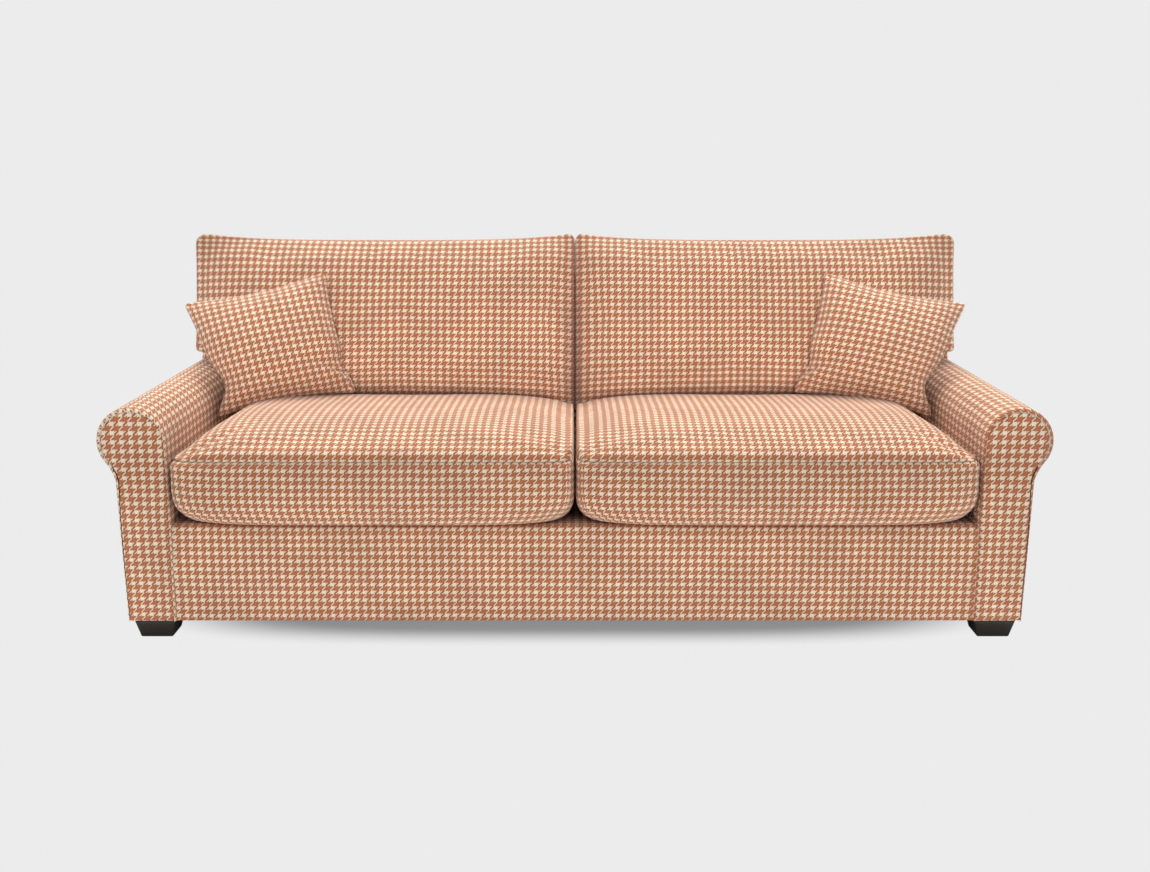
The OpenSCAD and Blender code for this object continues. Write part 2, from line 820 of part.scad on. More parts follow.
back_border = [[0.8, 0, 0], [1, 24, 4], [1, 8, 18], [1, 0, 48], [1, 0, back_seam_t - 20],
    [1, 6, back_seam_t]];
back_crown_rings = [0.94, 0.84, 0.68, 0.48, 0.25];

// The ring points of a back cushion whose bottom is at v0, drawn in by d
function back_ring(v0, outline, rho, d, f) = let (c = back_middle(v0)) [for (p = outline)
    let (far = norm(p - c), k = rho * (far - d) / far, at = mix(c, p, k))
    [at[0], -f, at[1]]];
function back_crown_ring(v0, outline, rho, d) = let (c = back_middle(v0)) [for (p = outline)
    let (far = norm(p - c), k = rho * (far - d) / far, at = mix(c, p, k),
        q = (at[1] - c[1]) / (back_cushion_h / 2))
    [at[0], -(back_front(rho, q) - d), at[1]]];
function back_rings(v0, outline, d, border, crown) = concat(
    [for (row = border) back_ring(v0, outline, row[0], row[1] + d, max(row[2], d))],
    [for (rho = crown) back_crown_ring(v0, outline, rho, d)]);

// World place of a point in the inside back's axes
function from_back(p) = [p[0], y_inside + p[1] * cos(lean) + p[2] * sin(lean),
    z_inside - p[1] * sin(lean) + p[2] * cos(lean)];

// The least height of a list of points above the seat cushion
function least_gap(points) = min([for (p = points) p[2] - seat_top(p[0], p[1])]);

// The points of all rings and the points midway between them
function all_points(rings) = [for (ring = rings, i = [0:len(ring) - 1])
    each [ring[i], mix(ring[i], ring[(i + 1) % len(ring)], 0.5)]];

// The bottom of a back cushion is let down until it nearly rests on the seat cushion
rest_gap = 2;
function settle(v0) = let (points = all_points(back_rings(v0, rounded(back_outline(v0)), 0,
    back_border, back_crown_rings)))
    v0 - (least_gap([for (p = points) from_back(p)]) - rest_gap) / cos(lean);
back_v0 = settle(settle(settle(240)));

module back_body(d, outline, border, crown) {
    c = back_middle(back_v0);
    stack([c[0], -d, c[1]], back_rings(back_v0, outline, d, border, crown),
        [c[0], -(back_front(0, 0) - d), c[1]]);
}

module at_back() {
    on_back() translate([0, -soft_gap, 0]) children();
}

back_edge = rounded(back_outline(back_v0));
back_inner_border = [back_border[0], back_border[3], back_border[5]];
back_inner_crown = [0.84, 0.5];

module back_cushion() {
    color(cloth) at_back() difference() {
        back_body(0, back_edge, back_border, back_crown_rings);
        back_body(wall, back_edge, back_inner_border, back_inner_crown);
    }
}

module back_core() {
    color(foam) at_back() back_body(wall + core_gap, back_edge, back_inner_border, back_inner_crown);
}

// Scatter cushions: a square with four corner points, drawn-in sides and a crown on both faces

// Corner places, from the arm's inner face and the inside back, and above the deck's front
scatter_low_in = [-393, -196, 234];
scatter_low_out = [-8, -313, 182];
scatter_high_out = [101, -173, 494];
scatter_high_in = [-297, -115, 580];

function scatter_patch(u, v) = mix(mix(scatter_low_in, scatter_low_out, (1 + u) / 2),
    mix(scatter_high_in, scatter_high_out, (1 + u) / 2), (1 + v) / 2);
scatter_right = scatter_patch(1, 0) - scatter_patch(-1, 0);
scatter_up = scatter_patch(0, 1) - scatter_patch(0, -1);
scatter_normal = cross(scatter_right, scatter_up) / norm(cross(scatter_right, scatter_up));

// How far the outer side is pushed in at v: most at a quarter of its height
function push(v) = scatter_push * exp(-pow((v + 0.5) / 0.34, 2));

// A point of the cushion at u, v from -1 to 1, raised by h, with its sides drawn in
function scatter_point(u, v, h) =
    let (du = (scatter_draw * (1 - v * v) + (u > 0 ? u * push(v) : 0)) * 2 / norm(scatter_right),
        dv = scatter_draw * (1 - u * u) * 2 / norm(scatter_up))
    scatter_patch(u * (1 - du), v * (1 - dv)) + h * scatter_normal;

function scatter_ring(edge, r, side, d) = [for (p = edge)
    let (u = r * p[0], v = r * p[1],
        rise = pow(1 - u * u, 0.45) * pow(1 - v * v, v > 0 ? 0.45 : 0.7),
        full = side > 0 ? scatter_front : scatter_rear)
    scatter_point(u * (1 - d / 100), v * (1 - d / 100), side * max(0, full * rise - (r < 1 ? d : 0)))];

function scatter_rings(edge, depths, d) = let (n = len(depths)) concat(
    [for (r = depths) scatter_ring(edge, r, -1, d)],
    [scatter_ring(edge, 1, 1, d)],
    [for (i = [n - 1:-1:0]) scatter_ring(edge, depths[i], 1, d)]);

// Where the scatter cushion's frame starts; its height is let down onto the seat cushion
scatter_at = [x_in, y_inside, deck_front_z];
scatter_depths = [0.3, 0.6, 0.85, 0.96];
scatter_inner_depths = [0.35, 0.75];
scatter_points = all_points(scatter_rings(square_edge(8), scatter_depths, 0));
// The crown's flat faces lie a little inside its true curve here, so the cushion comes down onto them
scatter_sink = 0.9;
scatter_drop = least_gap([for (p = scatter_points) p + scatter_at]) + scatter_sink;

module scatter_body(m, depths, d) {
    translate(scatter_at - [0, 0, scatter_drop]) stack(
        scatter_point(0, 0, -(scatter_rear - d)),
        scatter_rings(square_edge(m), depths, d),
        scatter_point(0, 0, scatter_front - d));
}

module scatter_cushion() {
    color(cloth) difference() {
        scatter_body(8, scatter_depths, 0);
        scatter_body(5, scatter_inner_depths, wall);
    }
}

module scatter_core() {
    color(foam) scatter_body(5, scatter_inner_depths, wall + core_gap);
}

left() foot(foot_y[0]);  // front_left_foot
foot(foot_y[0]);  // front_right_foot
left() foot(foot_y[1]);  // rear_left_foot
foot(foot_y[1]);  // rear_right_foot
support_foot();
foot_glides();
hanger_bolts();
t_nuts();
front_seat_rail();
rear_seat_rail();
left() side_rail();  // left_side_rail
side_rail();  // right_side_rail
centre_seat_rail();
rear_bottom_rail();
corner_blocks();
block_screws();
seat_springs();
spring_clips();
deck_pad();
deck_cloth();
front_edge_roll();
base_front_cover();
dust_cover();
left() arm_front_board();  // left_arm_front_board
arm_front_board();  // right_arm_front_board
left() arm_top_rail();  // left_arm_top_rail
arm_top_rail();  // right_arm_top_rail
left() arm_lining();  // left_arm_lining
arm_lining();  // right_arm_lining
left() arm_padding();  // left_arm_padding
arm_padding();  // right_arm_padding
left() inside_arm_cover();  // left_inside_arm_cover
inside_arm_cover();  // right_inside_arm_cover
left() outside_arm_cover();  // left_outside_arm_cover
outside_arm_cover();  // right_outside_arm_cover
left() arm_facing();  // left_arm_facing
arm_facing();  // right_arm_facing
left() back_post();  // left_back_post
back_post();  // right_back_post
centre_back_post();
back_lower_rail();
back_top_rail();
back_webbing();
back_padding();
inside_back_cover();
outside_back_cover();
left() seat_cover();  // left_seat_cover
seat_cover();  // right_seat_cover
left() seat_core();  // left_seat_core
seat_core();  // right_seat_core
left() seat_zip();  // left_seat_zip
seat_zip();  // right_seat_zip
left() back_cushion();  // left_back_cushion
back_cushion();  // right_back_cushion
left() back_core();  // left_back_core
back_core();  // right_back_core
left() scatter_cushion();  // left_scatter_cushion
scatter_cushion();  // right_scatter_cushion
left() scatter_core();  // left_scatter_core
scatter_core();  // right_scatter_core
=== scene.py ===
# %% [markdown]
# Four-seater sofa with roll arms: setting up.
# The sofa's frame comes from its CAD model. This script dresses it: each visible part of the upholstery is
# made here as its own surface, laid over the solid that it stands for. Lengths in the functions below are in
# millimetres, because the sofa's drawing is in millimetres, and they turn to metres when a mesh is made.

import bmesh
import bpy
import numpy as np
from mathutils.kdtree import KDTree
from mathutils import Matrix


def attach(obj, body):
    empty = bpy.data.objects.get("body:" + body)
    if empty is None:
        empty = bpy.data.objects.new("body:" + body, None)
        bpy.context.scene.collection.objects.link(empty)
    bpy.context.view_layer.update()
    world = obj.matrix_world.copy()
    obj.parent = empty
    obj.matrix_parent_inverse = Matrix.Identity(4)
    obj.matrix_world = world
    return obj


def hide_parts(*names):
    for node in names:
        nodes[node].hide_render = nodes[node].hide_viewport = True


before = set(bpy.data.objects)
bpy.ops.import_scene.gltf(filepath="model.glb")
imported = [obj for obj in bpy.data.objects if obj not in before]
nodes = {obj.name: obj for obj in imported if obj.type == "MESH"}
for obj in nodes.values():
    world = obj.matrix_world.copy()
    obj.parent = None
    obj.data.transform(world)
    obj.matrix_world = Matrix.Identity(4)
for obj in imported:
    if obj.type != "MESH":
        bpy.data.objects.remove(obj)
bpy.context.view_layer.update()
print("solids in the frame:", len(nodes))

# %% [markdown]
# Camera.
# The sofa is seen from straight in front and from a little above, as from a camera on a low stand. A view set
# by eye would leave no edge quite in its place, so the lens angle and the tilt follow from where the arms'
# and the back's corners lie in the picture.

# %% Camera
IMAGE_W, IMAGE_H = 1150, 872
FOCAL_PX, TILT = 1385.0, 12.0
CAMERA_AT = (0.0, -3.85, 1.2554)
lens = bpy.data.cameras.new("showroom_view")
lens.sensor_width = 36.0
lens.lens = FOCAL_PX / IMAGE_W * lens.sensor_width
camera = bpy.data.objects.new("showroom_view", lens)
camera.location = CAMERA_AT
camera.rotation_euler = (np.radians(90 - TILT), 0.0, 0.0)
bpy.context.scene.collection.objects.link(camera)
bpy.context.scene.camera = camera
print("lens in mm:", round(lens.lens, 2), " picture's shape:", round(IMAGE_W / IMAGE_H, 3))

# %% [markdown]
# Node materials.
# A material is a small network of nodes. One function adds a node, changes its own settings and fills or
# links its inputs, so that each material below reads as a list of steps. Colours are written as sRGB hex
# values, as a paint chart gives them, and one function turns them to the linear values that the shader needs.

# %% Colour and node helpers
def linear(code):
    """sRGB hex to linear: c / 12.92 below 0.04045, else ((c + 0.055) / 1.055) to the power 2.4."""
    c = np.array([int(code[k:k + 2], 16) for k in (1, 3, 5)]) / 255
    c = np.where(c <= 0.04045, c / 12.92, ((c + 0.055) / 1.055) ** 2.4)
    return (*c, 1.0)


def add(tree, kind, settings=None, **inputs):
    """Adds one shader node. Inputs are named, or n0, n1, ... by place; a socket is linked, a value is set."""
    made = tree.nodes.new("ShaderNode" + kind)
    for key, value in (settings or {}).items():
        setattr(made, key, value)
    for key, value in inputs.items():
        place = int(key[1:]) if key[1:].isdigit() else key.replace("_", " ")
        if isinstance(value, bpy.types.NodeSocket):
            tree.links.new(value, made.inputs[place])
        else:
            made.inputs[place].default_value = value
    return made


def surface(name, **inputs):
    """A new material, its node tree and its Principled shader with the given inputs set."""
    material = bpy.data.materials.new(name)
    material.use_nodes = True
    shader = material.node_tree.nodes["Principled BSDF"]
    for key, value in inputs.items():
        shader.inputs[key.replace("_", " ")].default_value = value
    return material, material.node_tree, shader


print("terracotta in linear values:", np.round(linear("#b56d48")[:3], 3))

# %% [markdown]
# Woven houndstooth.
# Houndstooth is not printed but woven. A picture of the cloth laid over the sofa would blur close up, so the
# weave is worked out from its threads. Both the upright threads (warp) and the cross threads (weft) change
# between terracotta and cream every half repeat, in a twill, where the thread on top moves one step sideways
# in each row. Where both threads have one colour there is a solid block, and where they differ the twill
# draws slanting teeth. The light teeth are a little pinker than the blocks, because the other thread shows
# through between; the dark teeth are browner and darker than the blocks, which is painted shade between the
# threads. The nodes do the same: they ask which thread is on top, and take that thread's colour. The repeat
# is 20.9 mm, as counted on the base panel.

# %% Threads and twill
REPEAT = 0.0209
THREADS = 22
WANDER = 0.004


def thread_grid(tree, uv):
    """The place on the cloth in threads, the number of the whole thread, and that thread's middle in repeats.
    The rows wander by half of WANDER to each side, because a filled cover is never quite straight."""
    sway = add(tree, "TexNoise", {"noise_dimensions": "2D"}, Vector=uv, Scale=9.0, Detail=2.0)
    sway = add(tree, "VectorMath", {"operation": "SUBTRACT"}, n0=sway.outputs["Color"], n1=(0.5, 0.5, 0.5))
    bent = add(tree, "VectorMath", {"operation": "MULTIPLY_ADD"}, n0=sway.outputs[0],
               n1=(WANDER, WANDER, 0.0), n2=uv).outputs[0]
    threads = add(tree, "VectorMath", {"operation": "SCALE"}, n0=bent, Scale=THREADS / REPEAT).outputs[0]
    whole = add(tree, "VectorMath", {"operation": "FLOOR"}, n0=threads).outputs[0]
    middle = add(tree, "VectorMath", {"operation": "MULTIPLY_ADD"}, n0=whole, n1=(1 / THREADS,) * 3,
                 n2=(0.5 / THREADS,) * 3).outputs[0]
    return threads, whole, middle


def twill(tree, place):
    """Warp is light where fract(U) < 0.46 and weft where fract(V) < 0.44, in repeats. With
    s = 2 (U - V) + 0.24, the warp is on top where fract(s) < 1/2, and a light tooth is a tenth thinner than
    a dark one: fract(2 s) < 0.9."""
    part = add(tree, "VectorMath", {"operation": "FRACTION"}, n0=place).outputs[0]
    axes = add(tree, "SeparateXYZ", n0=part)
    warp = add(tree, "Math", {"operation": "LESS_THAN"}, n0=axes.outputs[0], n1=0.46).outputs[0]
    weft = add(tree, "Math", {"operation": "LESS_THAN"}, n0=axes.outputs[1], n1=0.44).outputs[0]
    slant = add(tree, "VectorMath", {"operation": "DOT_PRODUCT"}, n0=place, n1=(2.0, -2.0, 0.0)).outputs[1]
    slant = add(tree, "Math", {"operation": "ADD"}, n0=slant, n1=0.24).outputs[0]
    on_top = add(tree, "Math", {"operation": "FRACT"}, n0=slant).outputs[0]
    on_top = add(tree, "Math", {"operation": "LESS_THAN"}, n0=on_top, n1=0.5).outputs[0]
    thin = add(tree, "Math", {"operation": "MULTIPLY"}, n0=slant, n1=2.0).outputs[0]
    thin = add(tree, "Math", {"operation": "FRACT"}, n0=thin).outputs[0]
    thin = add(tree, "Math", {"operation": "LESS_THAN"}, n0=thin, n1=0.9).outputs[0]
    return warp, weft, on_top, thin


print("threads per repeat:", THREADS, " thread width in mm:", round(REPEAT * 1000 / THREADS, 2))

# %% [markdown]
# The cloth's colour and surface.
# The dye takes a little unevenly, thread by thread and in clouds as wide as a hand, so the cloth isn't one
# flat pattern. Thick slubby threads give a matt, slightly fuzzy surface: it has high roughness, a little
# sheen, and a bump that rounds each thread.

# %% Houndstooth colours
def tooth_colours(tree, warp, weft, on_top, thin, dark, dark_tooth_painted_shade, light_tooth, light):
    """The upper thread's colour: of the blocks where warp and weft agree, of the teeth where they differ. The
    dark tooth colour is the terracotta darkened by painted shade between the threads.
    """
    upper = add(tree, "Mix", {"data_type": "FLOAT"}, n0=on_top, n2=weft, n3=warp).outputs[0]
    tooth = add(tree, "Math", {"operation": "MULTIPLY"}, n0=upper, n1=thin).outputs[0]
    differ = add(tree, "Math", {"operation": "SUBTRACT"}, n0=warp, n1=weft).outputs[0]
    differ = add(tree, "Math", {"operation": "ABSOLUTE"}, n0=differ).outputs[0]
    blocks = add(tree, "Mix", {"data_type": "RGBA"}, n0=upper, n6=linear(dark), n7=linear(light))
    # The dark teeth take the terracotta darkened by painted shade between the threads
    teeth = add(tree, "Mix", {"data_type": "RGBA"}, n0=tooth, n6=linear(dark_tooth_painted_shade), n7=linear(light_tooth))
    mixed = add(tree, "Mix", {"data_type": "RGBA"}, n0=differ, n6=blocks.outputs[2], n7=teeth.outputs[2])
    return mixed.outputs[2]


def uneven_dye(tree, uv, whole, colour):
    """The colour times 0.92 + 0.16 speck + 0.34 cloud - 0.17. The speck is a number of each thread crossing's
    own, and the cloud is noise over 125 mm; both lie round 0.5, so the mean stays 1."""
    speck = add(tree, "TexWhiteNoise", {"noise_dimensions": "2D"}, Vector=whole).outputs[0]
    cloud = add(tree, "TexNoise", {"noise_dimensions": "2D"}, Vector=uv, Scale=8.0, Detail=3.0).outputs[0]
    shade = add(tree, "Math", {"operation": "MULTIPLY_ADD"}, n0=speck, n1=0.16, n2=0.92).outputs[0]
    shade = add(tree, "Math", {"operation": "MULTIPLY_ADD"}, n0=cloud, n1=0.34, n2=shade).outputs[0]
    shade = add(tree, "Math", {"operation": "SUBTRACT"}, n0=shade, n1=0.17).outputs[0]
    return add(tree, "VectorMath", {"operation": "SCALE"}, n0=colour, Scale=shade).outputs[0]


print("mean shade of the dye:", round(0.92 + 0.16 / 2 + 0.34 / 2 - 0.17, 3))

# %% Houndstooth material
def round_threads(tree, threads, on_top):
    """A bump of 0.6 mm: the upper thread's height is sin(pi f), with f from 0 to 1 across it."""
    part = add(tree, "VectorMath", {"operation": "FRACTION"}, n0=threads).outputs[0]
    wave = add(tree, "VectorMath", {"operation": "SCALE"}, n0=part, Scale=np.pi).outputs[0]
    wave = add(tree, "VectorMath", {"operation": "SINE"}, n0=wave).outputs[0]
    wave = add(tree, "SeparateXYZ", n0=wave)
    height = add(tree, "Mix", {"data_type": "FLOAT"}, n0=on_top, n2=wave.outputs[1], n3=wave.outputs[0])
    return add(tree, "Bump", Strength=0.5, Distance=0.0006, Height=height.outputs[0]).outputs[0]


def houndstooth(name, *colours):
    """The woven cloth on the UV map "cloth", which is in metres. The colours are dark, dark tooth (darkened
    by painted shade between the threads), light tooth and light."""
    material, tree, shader = surface(name, Roughness=0.85, Sheen_Weight=0.2, Sheen_Roughness=0.5,
                                     Specular_IOR_Level=0.25)
    uv = add(tree, "UVMap", {"uv_map": "cloth"}).outputs[0]
    threads, whole, middle = thread_grid(tree, uv)
    warp, weft, on_top, thin = twill(tree, middle)
    colour = uneven_dye(tree, uv, whole, tooth_colours(tree, warp, weft, on_top, thin, *colours))
    tree.links.new(colour, shader.inputs["Base Color"])
    tree.links.new(round_threads(tree, threads, on_top), shader.inputs["Normal"])
    return material


# 96634a, the dark tooth, is the terracotta darkened by painted shade between the threads
woven = houndstooth("houndstooth_wool_blend", "#b56d48", "#96634a", "#ebc6a9", "#eedcc5")
print("nodes in the cloth:", len(woven.node_tree.nodes))

# %% [markdown]
# From points to cloth.
# Each surface below is worked out as a grid of points, a function of two parameters, and each point also gets
# its place on the flat cloth in millimetres, so that the weave follows the surface as the real cloth does. A
# piece is a few such grids, joined where their edges meet. The left half of the sofa mirrors the right half,
# but its cloth isn't mirrored: the teeth lean the same way all over, as on the real roll of cloth.

# %% Curve helpers
def smooth(x, xs, ys):
    """A smooth curve through the points xs, ys, read at x: a cubic on each stretch, with the mean of the
    neighbouring slopes at each point, and slope 0 where the curve turns."""
    xs, ys = np.asarray(xs, float), np.asarray(ys, float)
    slope = np.diff(ys) / np.diff(xs)
    m = np.concatenate([slope[:1], (slope[1:] + slope[:-1]) / 2, slope[-1:]])
    m[1:-1] = np.where(slope[1:] * slope[:-1] <= 0, 0, m[1:-1])
    i = np.clip(np.searchsorted(xs, x, side="right") - 1, 0, len(xs) - 2)
    h = xs[i + 1] - xs[i]
    t = np.clip((x - xs[i]) / h, 0, 1)
    return (ys[i] * (1 + 2 * t) * (1 - t) ** 2 + ys[i + 1] * t * t * (3 - 2 * t)
            + h * m[i] * t * (1 - t) ** 2 + h * m[i + 1] * t * t * (t - 1))


def along(points):
    """Distance along a row of points, from its start: the running sum of the steps' lengths."""
    return np.concatenate([[0], np.cumsum(np.linalg.norm(np.diff(points, axis=0), axis=1))])


def running(grid):
    """Distance along each column of a grid of points, from its first row."""
    return np.cumsum(np.linalg.norm(np.diff(grid, axis=0, prepend=grid[:1]), axis=2), axis=0)


def across_x(line, x):
    """A side view of Y and Z carried across the places x: each of its points makes a row of the grid."""
    return np.stack(np.broadcast_arrays(x, line[:, :1], line[:, 1:]), -1)


print("a smooth curve half way up:", smooth(0.5, [0, 1], [0, 1]))

# %% One piece
def piece(name, patches, material, body, replaces, outward=None):
    """One mesh from grids of points and cloth places. Grid corners (j, i), (j, i+1), (j+1, i+1), (j+1, i)
    make a face, and points closer than 0.02 mm are joined. With outward, the faces are turned to that
    side."""
    faces, points, places, start = [], [], [], 0
    for grid, uv in patches:
        k = start + np.arange(grid.shape[0] * grid.shape[1]).reshape(grid.shape[:2])
        faces.append(np.stack([k[:-1, :-1], k[:-1, 1:], k[1:, 1:], k[1:, :-1]], -1).reshape(-1, 4))
        points.append(grid.reshape(-1, 3))
        places.append(uv.reshape(-1, 2))
        start += k.size
    faces, points, places = np.concatenate(faces), np.concatenate(points), np.concatenate(places)
    mesh = bpy.data.meshes.new(name)
    mesh.from_pydata(points / 1000, [], faces)
    mesh.uv_layers.new(name="cloth").data.foreach_set("uv", (places[faces.ravel()] / 1000).ravel())
    work = bmesh.new()
    work.from_mesh(mesh)
    bmesh.ops.remove_doubles(work, verts=work.verts, dist=2e-5)
    bmesh.ops.recalc_face_normals(work, faces=work.faces)
    if outward is not None:
        facing = sum((np.array(f.normal) * f.calc_area() for f in work.faces), np.zeros(3))
        if facing @ np.array(outward) < 0:
            bmesh.ops.reverse_faces(work, faces=work.faces)
    work.to_mesh(mesh)
    work.free()
    mesh.shade_smooth()
    mesh.materials.append(material)
    made = bpy.data.objects.new(name, mesh)
    bpy.context.scene.collection.objects.link(made)
    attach(made, body)
    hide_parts(*replaces)
    return made


print("points closer than 0.02 mm are joined in each piece")

# %% Pieces of both sides
def mirrored(patches):
    """The left-hand twin: X changes sign, and so does the cloth's sideways axis."""
    return [(p * [-1, 1, 1], uv * [-1, 1]) for p, uv in patches]


def both_sides(name, patches, material, body, replaces, outward=None):
    """The right-hand piece and its left-hand twin. In body and replaces, SIDE stands for left or right."""
    made = []
    for side, shape in (("right", patches), ("left", mirrored(patches))):
        turn = None if outward is None else (outward[0] * (1 if side == "right" else -1), *outward[1:])
        made.append(piece(side + "_" + name, shape, material, body.replace("SIDE", side),
                          [r.replace("SIDE", side) for r in replaces], turn))
    return made


print("twin of the point 2, 0, 0:", mirrored([(np.array([2, 0, 0]), np.zeros(2))])[0][0])

# %% [markdown]
# Seat cushions.
# A seat cushion is a foam block wrapped in feather, so its cover is boxed: a flat border all round, sewn to a
# top panel that swells into a crown. The border turns under softly at the bottom, which shows as the rounded
# lower corners. A cube under a Subdivision Surface makes a pillow too, but its seam, crown and corners all
# hang together. Here each has its own shape: the top panel is a grid pulled to a rounded square, and the
# border is a profile carried round it. The seam is a sharp crease between them, because the thread pulls both
# panels in. At the arm and in front the panel rolls out over the seam; beside the other cushion the two press
# each other flat.

# %% Seat cushion measures
# The deck falls 3 degrees to the rear, from the roll along its front edge. A cushion is 2 SEAT_A wide and
# 2 SEAT_B deep, with its middle at SEAT_X and SEAT_S, and its upper seam lies SEAM_T above the deck. The
# seam is drawn in by SEAM_IN, and the turn at the bottom by UNDER_IN.
RAKE = np.radians(3.0)
Y_EDGE, Z_EDGE, EDGE_R = -441.0, 286.0, 16.0
SEAT_A, SEAT_B, SEAT_S, SEAT_X = 510.25, 409.131, 346.067, 511.75
SEAM_T, CROWN = 168.0, 90.0
SEAM_IN, UNDER_IN = 12, 46
HAIR = 0.3


def deck(x, s, t):
    """From the deck's axes to the room's: s runs back down the rake, t stands square to the deck."""
    return np.stack([x, Y_EDGE + s * np.cos(RAKE) + t * np.sin(RAKE),
                     Z_EDGE - s * np.sin(RAKE) + t * np.cos(RAKE)], -1)


def at_seat(x, s, t):
    """From the cushion's own middle to its place on the deck, a hair above the deck cloth."""
    return deck(x + SEAT_X, s + SEAT_S, t + EDGE_R + HAIR)


def reach(p, q, n):
    """How far a direction on the unit square goes to a rounded square: (|p|^n + |q|^n)^(-1/n)."""
    return (np.abs(p) ** n + np.abs(q) ** n) ** (-1 / n)


def squared(p, q, n):
    """The factor that pulls a point of the unit square to a rounded square: the reach of its direction."""
    ring = np.maximum(np.maximum(np.abs(p), np.abs(q)), 1e-9)
    return reach(p / ring, q / ring, n)


def packed(count, share=0.6):
    """Numbers from -1 to 1 that lie closer together near both ends."""
    s = np.linspace(-1, 1, count)
    return (1 - share) * s + share * np.sin(np.pi / 2 * s)


print("seat cushion in mm:", round(2 * SEAT_A), "wide,", round(2 * SEAT_B), "deep,", SEAM_T + CROWN, "high")

# %% Seat crown and top panel
def crown(u, v):
    """Crown height: 90 (1 - |u|^9) times (1 - |v|^2.2)^0.45 in front and 1 - v^6 behind. At the gap the
    twin cushion props it up: it falls by 0.34 |u|^5, and then round an edge of radius 5."""
    drop = np.clip(1 - (1 + u) * SEAT_A / 5, 0, 1)
    corner = (0.66 + 0.34 * drop ** 8) * (1 - np.sqrt(1 - drop ** 2))
    at_gap = 0.34 * np.abs(u) ** 5 * (1 - drop ** 8) + corner
    across = np.where(u > 0, np.abs(u) ** 9, at_gap)
    lengthwise = np.where(v < 0, np.clip(1 - np.abs(v) ** 2.2, 0, 1) ** 0.45, 1 - np.abs(v) ** 6)
    return CROWN * (1 - across) * lengthwise


def to_twin(u):
    """How much a point belongs to the side beside the other cushion: 0 up to u = -0.9, then up to 1 at -1."""
    return np.clip((-u - 0.9) / 0.1, 0, 1)


def seat_top(p, q, inset):
    """The top panel over p and q from -1 to 1. With e the distance from the edge over 5, the cloth lifts by
    3.2 e exp(1 - e) beside the seam. Over the arm's side it bulges by 8.5 f exp(1 - f), with f that distance
    over 3, and over the front by 7 (1 - exp(-crown / 2.5)) exp(-distance / 25)."""
    k = squared(p, q, 20)
    u, v = p * k, q * k
    a, b = SEAT_A - SEAM_IN - inset, SEAT_B - SEAM_IN - inset
    edge = np.minimum((1 - np.abs(p)) * a, (1 - np.abs(q)) * b)
    lip = 3.2 * edge / 5 * np.exp(1 - edge / 5)
    past = (1 - np.abs(p)) * a / 3
    bulge_x = np.where(p > 0, 8.5 * past * np.exp(1 - past), 0)
    bulge_y = -7 * (1 - np.exp(-crown(p, q) / 2.5)) * np.exp(-(1 + q) * b / 25)
    top = at_seat(a * u + bulge_x - 11.5 * to_twin(u), b * v + bulge_y, SEAM_T - inset + crown(p, q) + lip)
    return top, np.stack([a * u + SEAT_X, running(top)], -1)


print("crown in the middle and half way to the front:", crown(0, 0), np.round(crown(0, np.array(-0.5)), 1))

# %% Seat border and bottom
def seat_border(p0, q0, inset):
    """The border's profile carried round the cushion. At height t it is drawn in by draw, and its corners are
    as square as the power corner. Beside the twin the upper seam is hardly drawn in."""
    m = len(q0)
    ep = np.concatenate([p0[:-1], np.ones(m - 1), p0[:0:-1], -np.ones(m)])
    eq = np.concatenate([-np.ones(len(p0) - 1), q0[:-1], np.ones(len(p0) - 1), q0[::-1]])
    t = np.array([168, 166.8, 165.4, 163, 160, 155, 148, 138, 124, 108, 92, 76, 62, 50, 40, 31, 23, 16, 10.5,
                  6, 3, 1, 0])
    draw = smooth(t, [0, 3, 8, 16, 30, 60, 140, 160, 165, SEAM_T],
                  [UNDER_IN, 31, 20, 12.5, 6, 0.5, 0, 1.5, 6.5, SEAM_IN])
    corner = smooth(t, [0, 8, 30, 60, 126, SEAM_T], [5, 7, 10, 16, 20, 20])
    k = reach(ep[None], eq[None], corner[:, None])
    x = (SEAT_A - inset - draw[:, None]) * ep * k
    x = x - 0.958 * np.where(t > 120, draw, 0)[:, None] * to_twin(ep * k)
    s = (SEAT_B - inset - draw[:, None]) * eq * k
    border = at_seat(x, s, np.clip(t, inset, SEAM_T - inset)[:, None] + 0 * x)
    # The cloth's sideways place is measured round the widest row, from the middle of the front
    girth = along(border[9])
    girth = girth - np.interp(0, p0, girth[:len(p0)]) + SEAT_X
    return border, np.stack([girth + 0 * x, (SEAM_T - running(border)) * 1.06], -1)


def seat_bottom(p, q, inset):
    """The flat panel underneath, inside the turned-in border."""
    a, b, k = SEAT_A - UNDER_IN, SEAT_B - UNDER_IN, squared(p, q, 5)
    low = at_seat((a - inset) * p * k, (b - inset) * q * k, inset + 0 * p)
    return low, np.stack([a * p * k + SEAT_X, b * q * k], -1)


def seat_cushion(inset=0.0, n=130, m=90):
    """Top panel, border and bottom of the right seat cushion, drawn in by inset. Extra columns lie at the gap
    and extra rows in front, where the cloth turns sharply."""
    p0 = np.sort(np.concatenate([packed(n), [-0.9995, -0.998, -0.996, -0.991, -0.988, -0.983]]))
    q0 = np.sort(np.concatenate([packed(m), [-0.9999, -0.9996, -0.999, -0.998, -0.996, -0.994, -0.985,
                                             -0.975]]))
    p, q = np.meshgrid(p0, q0)
    return [seat_top(p, q, inset), seat_border(p0, q0, inset), seat_bottom(p, q, inset)]


seat_cushions = both_sides("seat_cushion", seat_cushion(), woven, "SIDE_seat", ["SIDE_seat_cover"])
print("points in a seat cushion:", len(seat_cushions[0].data.vertices))

